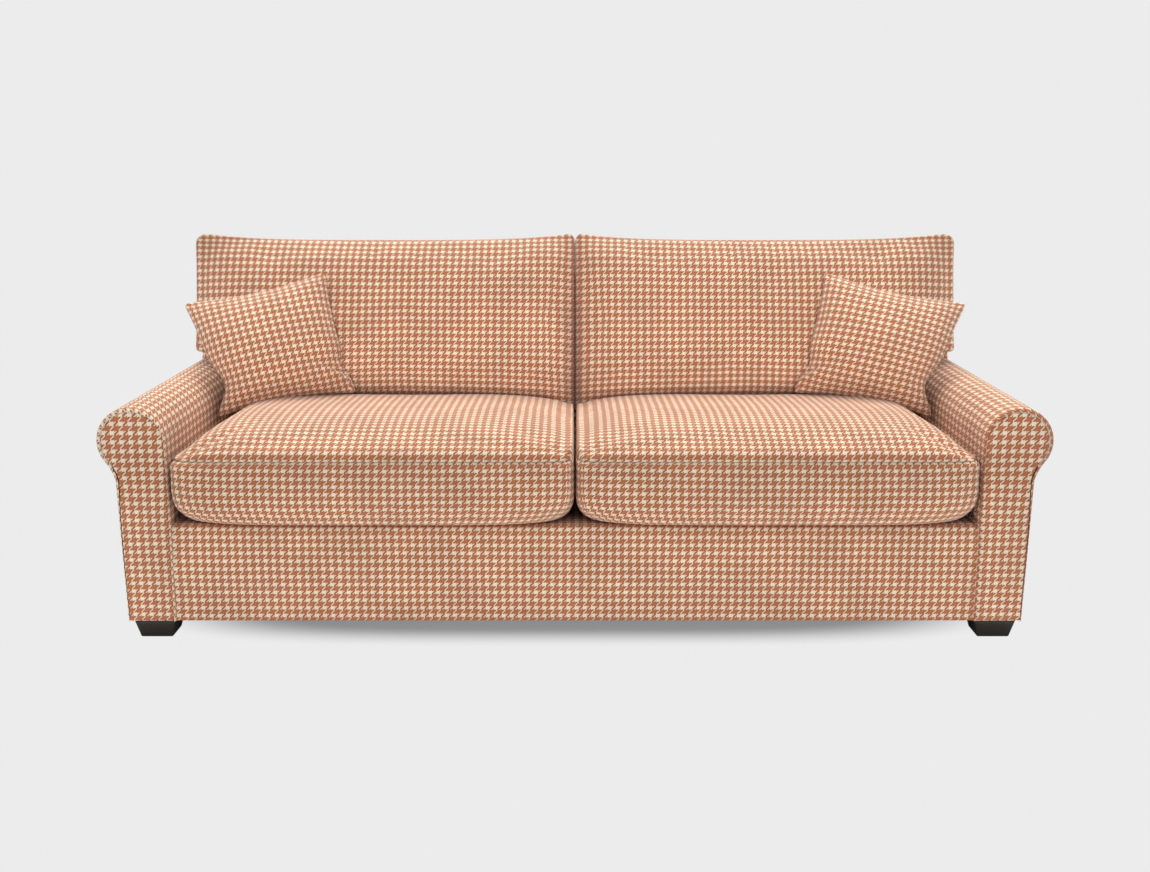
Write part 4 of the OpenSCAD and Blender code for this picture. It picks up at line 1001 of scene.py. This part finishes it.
# %% [markdown]
# Wood.
# The feet are hardwood blocks that taper to the floor, stained almost black-brown and lacquered. The stain
# leaves only a trace of the grain, and the lacquer gives a soft gloss. The frame is planed pine, which nobody
# sees once the sofa is covered: pale, with broad bands. In each arm a bent fibreboard carries the padding.
# Grain is long thin noise, squeezed along the piece's length. In Object coordinates it runs through the
# block, as real grain does and a picture of wood on its faces doesn't. The grain of beech is finer than a
# millimetre. It is drawn at 4 mm, so that a trace of it shows.

# %% Wood materials
def two_tone(tree, shader, share, dark, light, **bump):
    """The shader's colour goes from dark to light by share, and its surface gets the bump."""
    colour = add(tree, "Mix", {"data_type": "RGBA"}, n0=share, n6=linear(dark), n7=linear(light)).outputs[2]
    tree.links.new(colour, shader.inputs["Base Color"])
    tree.links.new(add(tree, "Bump", **bump).outputs[0], shader.inputs["Normal"])


def timber(name, dark, light, roughness, coat, scale, stretch=(1.0, 1.0, 0.06)):
    """Colour from noise that is squeezed along the grain, from a wave that bends with it, and a fine bump."""
    material, tree, shader = surface(name, Roughness=roughness, Coat_Weight=coat, Coat_Roughness=0.3)
    place = add(tree, "TexCoord").outputs["Object"]
    grain = add(tree, "Mapping", Vector=place, Scale=stretch).outputs[0]
    fibre = add(tree, "TexNoise", Vector=grain, Scale=scale, Detail=6.0, Distortion=0.6).outputs[0]
    rings = add(tree, "TexNoise", Vector=grain, Scale=scale / 7, Detail=2.0, Distortion=1.2).outputs[0]
    both = add(tree, "Math", {"operation": "MULTIPLY_ADD"}, n0=rings, n1=0.6, n2=fibre).outputs[0]
    share = add(tree, "MapRange", n0=both, n1=0.45, n2=1.05).outputs[0]
    two_tone(tree, shader, share, dark, light, Strength=0.25, Distance=0.0004, Height=fibre)
    return material


foot_wood = timber("stained_beech_lacquered", "#0f0805", "#1e110b", 0.55, 0.04, 260.0)
rail_wood = timber("planed_pine_along_x", "#c08a55", "#e2bd8b", 0.6, 0.0, 160.0, (0.06, 1.0, 1.0))
side_wood = timber("planed_pine_along_y", "#bd8853", "#e0ba88", 0.6, 0.0, 160.0, (1.0, 0.06, 1.0))
post_wood = timber("planed_pine_upright", "#bf8a56", "#e3be8d", 0.6, 0.0, 160.0, (1.0, 1.0, 0.06))
lining_board = timber("bent_fibreboard", "#8f6c47", "#a88661", 0.75, 0.0, 420.0, (1.0, 0.5, 1.0))
print("grain width of the feet in mm:", round(1000 / 260, 1))

# %% [markdown]
# Fillings and inner cloth.
# What the covers hide is soft and pale: polyester wadding over the arms and the back, cream foam on the
# springs, and feather in white cambric inside the cushions. A felted fibre or a foam is one cloud of noise at
# two scales, with a bump. A plain weave, for the cambric and the jute straps, is one thread up and one down:
# the product of two sine waves. The fibres of wadding and felt, the cells of foam and the threads of cambric
# are too fine to show, so they are drawn at about 4, 1.1, 1.4 and 0.9 mm. Jute has its real 2.8 mm.

# %% Fillings and inner cloth
def felted(name, dark, light, scale, depth, roughness=0.95):
    """Fibres or foam: cells at one scale and noise at a coarser one give the colour and a bump."""
    material, tree, shader = surface(name, Roughness=roughness, Specular_IOR_Level=0.2, Sheen_Weight=0.15)
    place = add(tree, "TexCoord").outputs["Object"]
    cells = add(tree, "TexVoronoi", {"feature": "SMOOTH_F1"}, Vector=place, Scale=scale, Smoothness=0.6)
    cloud = add(tree, "TexNoise", Vector=place, Scale=scale / 6, Detail=5.0, Distortion=0.8).outputs[0]
    both = add(tree, "Math", {"operation": "MULTIPLY_ADD"}, n0=cells.outputs[0], n1=0.7, n2=cloud).outputs[0]
    share = add(tree, "MapRange", n0=both, n1=0.35, n2=1.15).outputs[0]
    two_tone(tree, shader, share, dark, light, Strength=0.6, Distance=depth, Height=both)
    return material


def plain_weave(name, dark, light, pitch):
    """One up, one down: sin(pi x / p) sin(pi (y + z) / p) is high where the cross thread is on top."""
    material, tree, shader = surface(name, Roughness=0.9, Specular_IOR_Level=0.2, Sheen_Weight=0.15)
    place = add(tree, "TexCoord").outputs["Object"]
    scaled = add(tree, "VectorMath", {"operation": "SCALE"}, n0=place, Scale=np.pi / pitch).outputs[0]
    axes = add(tree, "SeparateXYZ", n0=scaled)
    second = add(tree, "Math", {"operation": "ADD"}, n0=axes.outputs[1], n1=axes.outputs[2]).outputs[0]
    a = add(tree, "Math", {"operation": "SINE"}, n0=axes.outputs[0]).outputs[0]
    b = add(tree, "Math", {"operation": "SINE"}, n0=second).outputs[0]
    crossing = add(tree, "Math", {"operation": "MULTIPLY"}, n0=a, n1=b).outputs[0]
    slub = add(tree, "TexNoise", Vector=place, Scale=180.0, Detail=4.0).outputs[0]
    share = add(tree, "Math", {"operation": "MULTIPLY_ADD"}, n0=crossing, n1=0.35, n2=slub).outputs[0]
    two_tone(tree, shader, share, dark, light, Strength=0.6, Distance=0.0005, Height=crossing)
    return material


wadding = felted("polyester_wadding", "#d9d3c4", "#f2eee4", 240.0, 0.0020)
foam = felted("cream_foam", "#d8c79c", "#eadcb6", 700.0, 0.0006, 0.9)
dust_felt = felted("black_nonwoven", "#0b0b0b", "#1d1d1c", 900.0, 0.0004)
cambric = plain_weave("feather_cambric", "#d6cfc0", "#efe9dc", 0.0009)
jute = plain_weave("jute_webbing", "#5e4a31", "#8f744f", 0.0028)
print("foam cells in mm:", round(1000 / 700, 1), " threads of the jute in mm:", 2.8)

# %% [markdown]
# Metal, plastic and the zips.
# Zinc plate shows faint crystals, so its colour and roughness change from cell to cell. Spring wire is heated
# to a dull blue-grey, and the glides are moulded nylon, where the same cells are very fine. They are drawn at
# 0.7 mm, coarser than the mould's own grain, so that they show. The zips have a row of teeth on a woven tape.

# %% Metal, plastic and zip materials
TOOTH_GAP = 0.003


def crystals(name, dark, light, scale, metallic, low, high):
    """Cells of slightly different colour and roughness, as on zinc plate, or much finer on plastic."""
    material, tree, shader = surface(name, Metallic=metallic)
    place = add(tree, "TexCoord").outputs["Object"]
    cell = add(tree, "TexVoronoi", Vector=place, Scale=scale).outputs["Color"]
    level = add(tree, "SeparateColor", n0=cell).outputs[0]
    rough = add(tree, "MapRange", n0=level, n3=low, n4=high).outputs[0]
    tree.links.new(rough, shader.inputs["Roughness"])
    two_tone(tree, shader, level, dark, light, Strength=0.15, Distance=0.0002, Height=level)
    return material


def zip_teeth(name, tape, metal):
    """Teeth every 3 mm along X, taken from sin(2 pi x / gap), in a narrow row on a woven tape."""
    material, tree, shader = surface(name, Roughness=0.6, Specular_IOR_Level=0.4)
    place = add(tree, "TexCoord").outputs["Object"]
    along_x = add(tree, "SeparateXYZ", n0=place).outputs[0]
    phase = add(tree, "Math", {"operation": "MULTIPLY"}, n0=along_x, n1=2 * np.pi / TOOTH_GAP).outputs[0]
    tooth = add(tree, "Math", {"operation": "SINE"}, n0=phase).outputs[0]
    share = add(tree, "MapRange", n0=tooth, n1=-0.2, n2=0.2).outputs[0]
    two_tone(tree, shader, share, tape, metal, Strength=0.7, Distance=0.0006, Height=tooth)
    return material


zinc = crystals("zinc_plated_steel", "#8b8c90", "#b9babd", 320.0, 1.0, 0.28, 0.45)
spring_wire = crystals("blued_spring_wire", "#4a4b4f", "#6d6e72", 500.0, 1.0, 0.35, 0.5)
nylon = crystals("moulded_nylon", "#161616", "#202020", 1500.0, 0.0, 0.5, 0.62)
zip_row = zip_teeth("coil_zip_on_tape", "#6f4630", "#a58a5c")
print("crystals of the zinc in mm:", round(1000 / 320, 1))

# %% [markdown]
# Layers under the covers.
# Wadding, foam and webbing are layers of even thickness that follow the surface above them. Solidify could
# thicken a surface too, but each layer also has to start at a set depth under its cover. So each is a grid of
# points and the same grid moved inwards, with the edges closed. The cores are the cushions' own forms, drawn
# in.

# %% Deck pad and edge roll
def layer(grid, inside, near, deep):
    """The grid moved in by near and by deep along the unit directions inside, and four strips that close
    it."""
    a, b = grid + near * inside, grid + deep * inside
    edges = ((a[0], b[0]), (a[-1], b[-1]), (a[:, 0], b[:, 0]), (a[:, -1], b[:, -1]))
    return [(g, g[..., :2].copy()) for g in [a, b] + [np.stack(pair) for pair in edges]]


pad_x, pad_s = np.meshgrid(np.linspace(-1024.5, 1024.5, 150), np.linspace(2.0, 754.0, 56))
quilted = deck(pad_x, pad_s, EDGE_R - 2.3 - 0.9 * np.abs(np.sin(pad_x * np.pi / SPRING_GAP)) ** 6)
pad_in = np.array([0, -np.sin(RAKE), -np.cos(RAKE)])
piece("deck_foam_pad", layer(quilted, pad_in, 0, 9.0), foam, "frame", ["deck_pad"])

EDGE_N = 26
edge_in = across_x(inward(base_line[-EDGE_N:]), 0 * base_x)
piece("edge_roll_foam", layer(base_points[-EDGE_N:] * [0.9985, 1, 1], edge_in, 2.3, 8.0), foam, "frame",
      ["front_edge_roll"])
print("foam layers:", bpy.data.materials["cream_foam"].users)

# %% Arm and back wadding
padded_part = slice(start, hollow_at - 8)
arm_points = swept_arm(section[padded_part], rows[4:], wide[padded_part])[0]
arm_points[..., 1] = np.minimum(arm_points[..., 1], 497.0)
arm_in = across_x(inward(section)[padded_part], np.zeros(len(arm_points)))
arm_in = arm_in[..., [1, 0, 2]].swapaxes(0, 1)
both_sides("arm_wadding", layer(arm_points, arm_in, 2.4, 12.0), wadding, "frame", ["SIDE_arm_padding"])

BACK_PAD_N = 56
back_in = np.stack([0 * into[..., 0], into[..., 0], into[..., 1]], -1)
piece("back_wadding", layer((shell * [0.996, 1, 1])[:BACK_PAD_N], back_in[:BACK_PAD_N], 2.4, 14.0), wadding,
      "frame", ["back_padding"])
print("wadding layers:", bpy.data.materials["polyester_wadding"].users)

# %% Straps and dust cloth
STRAPS, STRAP_GAP, STRAP_LOW, STRAP_HIGH = 10, 1026 / 5, 46.7, 584.6
strap_patches = []
for i in range(STRAPS):
    strap_x, strap_v = np.meshgrid(STRAP_GAP * (i - 4.5) + np.linspace(-25, 25, 12),
                                   np.linspace(STRAP_LOW, STRAP_HIGH, 60))
    depth = 19.0 + 3.0 * np.sin(np.pi * (strap_v - STRAP_LOW) / 538)
    strap = on_back(strap_x, strap_v, -depth - HAIR)
    strap_patches += layer(strap, np.array([0, np.cos(LEAN), -np.sin(LEAN)]), 0, 1.8)
piece("back_jute_straps", strap_patches, jute, "frame", ["back_webbing"])

under_x, under_y = np.meshgrid(np.linspace(-1147, 1147, 150), np.linspace(-447, 496, 60))
slack = 3.0 * np.sin(np.pi * (under_x / 2294 + 0.5)) ** 0.5 * np.sin(np.pi * (under_y + 447) / 943) ** 0.5
under = np.stack([under_x, under_y, 49.6 - slack], -1)
piece("underside_dust_cloth", layer(under, np.array([0, 0, -1.0]), 0, 0.8), dust_felt, "frame",
      ["dust_cover"])
print("straps:", STRAPS, " deepest slack of the dust cloth in mm:", round(float(np.nanmax(slack)), 2))

# %% Feather cores
CORE_IN = 9.0
both_sides("seat_feather_core", seat_cushion(CORE_IN, 56, 40), cambric, "SIDE_seat", ["SIDE_seat_core"])
both_sides("back_feather_core", back_cushion(CORE_IN, 40), cambric, "SIDE_back", ["SIDE_back_core"])
both_sides("scatter_feather_core", scatter_cushion(CORE_IN, 40), cambric, "SIDE_scatter",
           ["SIDE_scatter_core"])
print("feather cores:", bpy.data.materials["feather_cambric"].users)

# %% [markdown]
# Solids that stay.
# The wooden frame, the bolts, the springs, the glides and the zips have their right shape already in the CAD
# model. They only get their finish.

# %% Finishes of the solids that stay
def finish(material, *names):
    """Puts the material on each of the named solids."""
    for name in names:
        for place in nodes[name].material_slots:
            place.material = material


finish(rail_wood, "front_seat_rail", "rear_seat_rail", "rear_bottom_rail", "back_lower_rail", "back_top_rail",
       "corner_blocks")
finish(side_wood, "left_side_rail", "right_side_rail", "centre_seat_rail", "left_arm_top_rail",
       "right_arm_top_rail")
finish(post_wood, "left_back_post", "right_back_post", "centre_back_post", "left_arm_front_board",
       "right_arm_front_board")
finish(lining_board, "left_arm_lining", "right_arm_lining")
finish(foot_wood, "support_foot")
finish(zinc, "hanger_bolts", "t_nuts", "block_screws", "spring_clips")
finish(spring_wire, "seat_springs")
finish(nylon, "foot_glides")
finish(zip_row, "left_seat_zip", "right_seat_zip")
own_finishes = (rail_wood, side_wood, post_wood, lining_board, foot_wood, zinc, spring_wire, nylon, zip_row)
print("solids that stay:", sum(material.users for material in own_finishes))

# %% [markdown]
# Feet.
# Each foot is a square block of beech that tapers to the floor. Its edges are sanded a little round, so they
# catch a thin line of light. A cube with a Bevel would do as well. A rounded square carried down the foot was
# chosen, because the taper and the sanding are then numbers in one row.

# %% Feet
FOOT_X, FOOT_Y = 1081.5, (-409.0, 444.0)


def foot_block(x, y):
    """A square profile carried down with a taper: half width from 52.5 to 41, edges rounded by 1.6."""
    h = np.array([48.0, 47.6, 46.6, 38, 28, 18, 10, 5, 3.2, 2.3, 2.0])
    half = np.interp(h, [2, 48], [41, 52.5]) - np.array([1.6, 0.6, 0, 0, 0, 0, 0, 0, 0.3, 0.9, 1.9])
    turn = np.linspace(0, 2 * np.pi, 129)
    square = np.stack([np.cos(turn), np.sin(turn)], -1)
    square = square * reach(square[:, 0], square[:, 1], 34)[:, None]
    ring = half[:, None, None] * square
    caps = [0.5, 0.0]
    layers = np.concatenate([ring[:1] * s for s in caps[::-1]] + [ring] + [ring[-1:] * s for s in caps])
    level = np.concatenate([[48, 48], h, [2.0, 2.0]])
    points = np.stack([x + layers[..., 0], y + layers[..., 1], level[:, None] + 0 * layers[..., 0]], -1)
    return [(points, np.stack([turn * 50 + 0 * level[:, None], level[:, None] + 0 * turn], -1))]


for y, word in zip(FOOT_Y, ("front", "rear")):
    for block, name in zip((foot_block(FOOT_X, y), mirrored(foot_block(FOOT_X, y))), ("right", "left")):
        piece(f"{word}_{name}_tapered_foot", block, foot_wood, "frame", [f"{word}_{name}_foot"])
print("feet stand at X =", FOOT_X, "and Y =", FOOT_Y)

# %% [markdown]
# Sky and backdrop.
# The sofa stands in an even pale studio. A wall behind it would have to be lit evenly too, so the world does
# its work. What lights the sofa and what the camera sees are kept apart: an even sky of plain strength lights
# it, and the camera, glossy surfaces and glass see the backdrop's grey.

# %% Sky
BACKDROP = linear("#ececec")
world = bpy.data.worlds.new("studio")
bpy.context.scene.world = world
world.use_nodes = True
tree = world.node_tree
tree.nodes.clear()
seen = add(tree, "LightPath")
ray = add(tree, "Math", {"operation": "ADD", "use_clamp": True}, n0=seen.outputs["Is Camera Ray"],
          n1=seen.outputs["Is Glossy Ray"]).outputs[0]
ray = add(tree, "Math", {"operation": "ADD", "use_clamp": True}, n0=ray,
          n1=seen.outputs["Is Transmission Ray"]).outputs[0]
shown = add(tree, "Background", Color=BACKDROP, Strength=1.0).outputs[0]
sky = add(tree, "Background", Color=(1, 1, 1, 1), Strength=0.45).outputs[0]
add(tree, "OutputWorld", n0=add(tree, "MixShader", n0=ray, n1=sky, n2=shown).outputs[0])
print("backdrop in linear values:", np.round(BACKDROP[:3], 3))

# %% [markdown]
# Lamps.
# The main light is a wide lamp overhead, a little behind the sofa: it lights the seats and the tops and
# leaves the fronts in soft shade. Two weak lamps in front, to the left and the right, fill that shade. A
# narrow strip in front lights the back cushions over the seats, and a strip that lies on the floor in front
# of the sofa lifts the lower part of the base, as a pale floor does.

# %% Lamps
def softbox(name, power, spread, tilt, turn, colour):
    """A very wide lamp far away. Tilt is how far it stands forward from straight above, in degrees, and turn
    is how far it stands to one side."""
    lamp = bpy.data.lights.new(name, "SUN")
    lamp.energy, lamp.angle, lamp.color = power, np.radians(spread), linear(colour)[:3]
    stand = bpy.data.objects.new(name, lamp)
    stand.rotation_euler = (np.radians(tilt), 0, np.radians(turn))
    bpy.context.scene.collection.objects.link(stand)


def strip_box(name, place, target, high, power, spread):
    """A strip lamp 4.4 m long across the front at a place in Y and Z, turned to a target. Its beam opens by
    spread degrees."""
    strip = bpy.data.lights.new(name, "AREA")
    strip.shape, strip.size, strip.size_y = "RECTANGLE", 4.4, high
    strip.energy, strip.spread = power, np.radians(spread)
    stand = bpy.data.objects.new(name, strip)
    stand.location = (0, *place)
    stand.rotation_euler = (np.arctan2(target[0] - place[0], place[1] - target[1]), 0, 0)
    stand.visible_camera = False
    bpy.context.scene.collection.objects.link(stand)


softbox("ceiling_softbox", 3.0, 40, -24, 0, "#fffaf0")
softbox("front_left_softbox", 0.5, 60, 66, -40, "#ffffff")
softbox("front_right_softbox", 0.5, 60, 66, 40, "#ffffff")
strip_box("back_strip", (-2.6, 1.3), (0.15, 0.74), 0.2, 3.0, 20)
strip_box("floor_strip", (-0.75, 0.01), (-0.75, 1.0), 0.5, 3.5, 180)
print("lamps:", len(bpy.data.lights))

# %% [markdown]
# Floor.
# The floor is painted a pale grey. The camera sees its shadow only under and close round the sofa: there the
# paint is mixed with a glow of the backdrop's grey, and further out the glow takes over, so that no horizon
# shows. The edge between the two is a rounded rectangle like the sofa's own outline on the floor. For other
# rays the paint is pale near the sofa and darker far away, which keeps light from below at a plain level.

# %% Floor
floor_mesh = bpy.data.meshes.new("studio_floor")
floor_mesh.from_pydata([(-60, -60, 0), (60, -60, 0), (60, 200, 0), (-60, 200, 0)], [], [(0, 1, 2, 3)])
floor = bpy.data.objects.new("studio_floor", floor_mesh)
bpy.context.scene.collection.objects.link(floor)
painted, tree, shader = surface("painted_studio_floor", Roughness=0.9, Specular_IOR_Level=0.0)
camera_ray = add(tree, "LightPath").outputs["Is Camera Ray"]
spot = add(tree, "TexCoord").outputs["Object"]

# Albedo: 0.52 for the camera; for other rays 0.85 within 1.2 m of the middle, down to 0.12 from 3 m on
far_off = add(tree, "VectorMath", {"operation": "LENGTH"}, n0=spot).outputs["Value"]
albedo = add(tree, "MapRange", {"interpolation_type": "SMOOTHSTEP"}, n0=far_off, n1=1.2, n2=3.0, n3=0.85,
             n4=0.12).outputs[0]
albedo = add(tree, "Mix", {"data_type": "FLOAT"}, n0=camera_ray, n2=albedo, n3=0.52).outputs[0]
paint = add(tree, "CombineColor", n0=albedo, n1=albedo, n2=albedo).outputs[0]
tree.links.new(paint, shader.inputs["Base Color"])

# Glow: 0.3 up to the distance 0.38, and 1 from 0.53 on, with the distance ((0.44 x)^4 + y^4)^(1/4)
axes = add(tree, "SeparateXYZ", n0=spot)
x4 = add(tree, "Math", {"operation": "MULTIPLY"}, n0=axes.outputs[0], n1=0.44).outputs[0]
x4 = add(tree, "Math", {"operation": "POWER"}, n0=x4, n1=4.0).outputs[0]
y4 = add(tree, "Math", {"operation": "POWER"}, n0=axes.outputs[1], n1=4.0).outputs[0]
distance = add(tree, "Math", {"operation": "ADD"}, n0=x4, n1=y4).outputs[0]
distance = add(tree, "Math", {"operation": "POWER"}, n0=distance, n1=0.25).outputs[0]
fade = add(tree, "MapRange", {"interpolation_type": "SMOOTHSTEP"}, n0=distance, n1=0.38, n2=0.53,
           n3=0.3).outputs[0]
fade = add(tree, "Math", {"operation": "MULTIPLY"}, n0=fade, n1=camera_ray).outputs[0]
glow = add(tree, "Emission", Color=BACKDROP, Strength=1.0).outputs[0]
blend = add(tree, "MixShader", n0=fade, n1=shader.outputs[0], n2=glow).outputs[0]
tree.links.new(blend, tree.nodes["Material Output"].inputs[0])
floor_mesh.materials.append(painted)
bpy.context.scene.view_settings.view_transform = "Standard"
print("floor in m:", tuple(round(side_length) for side_length in floor.dimensions))
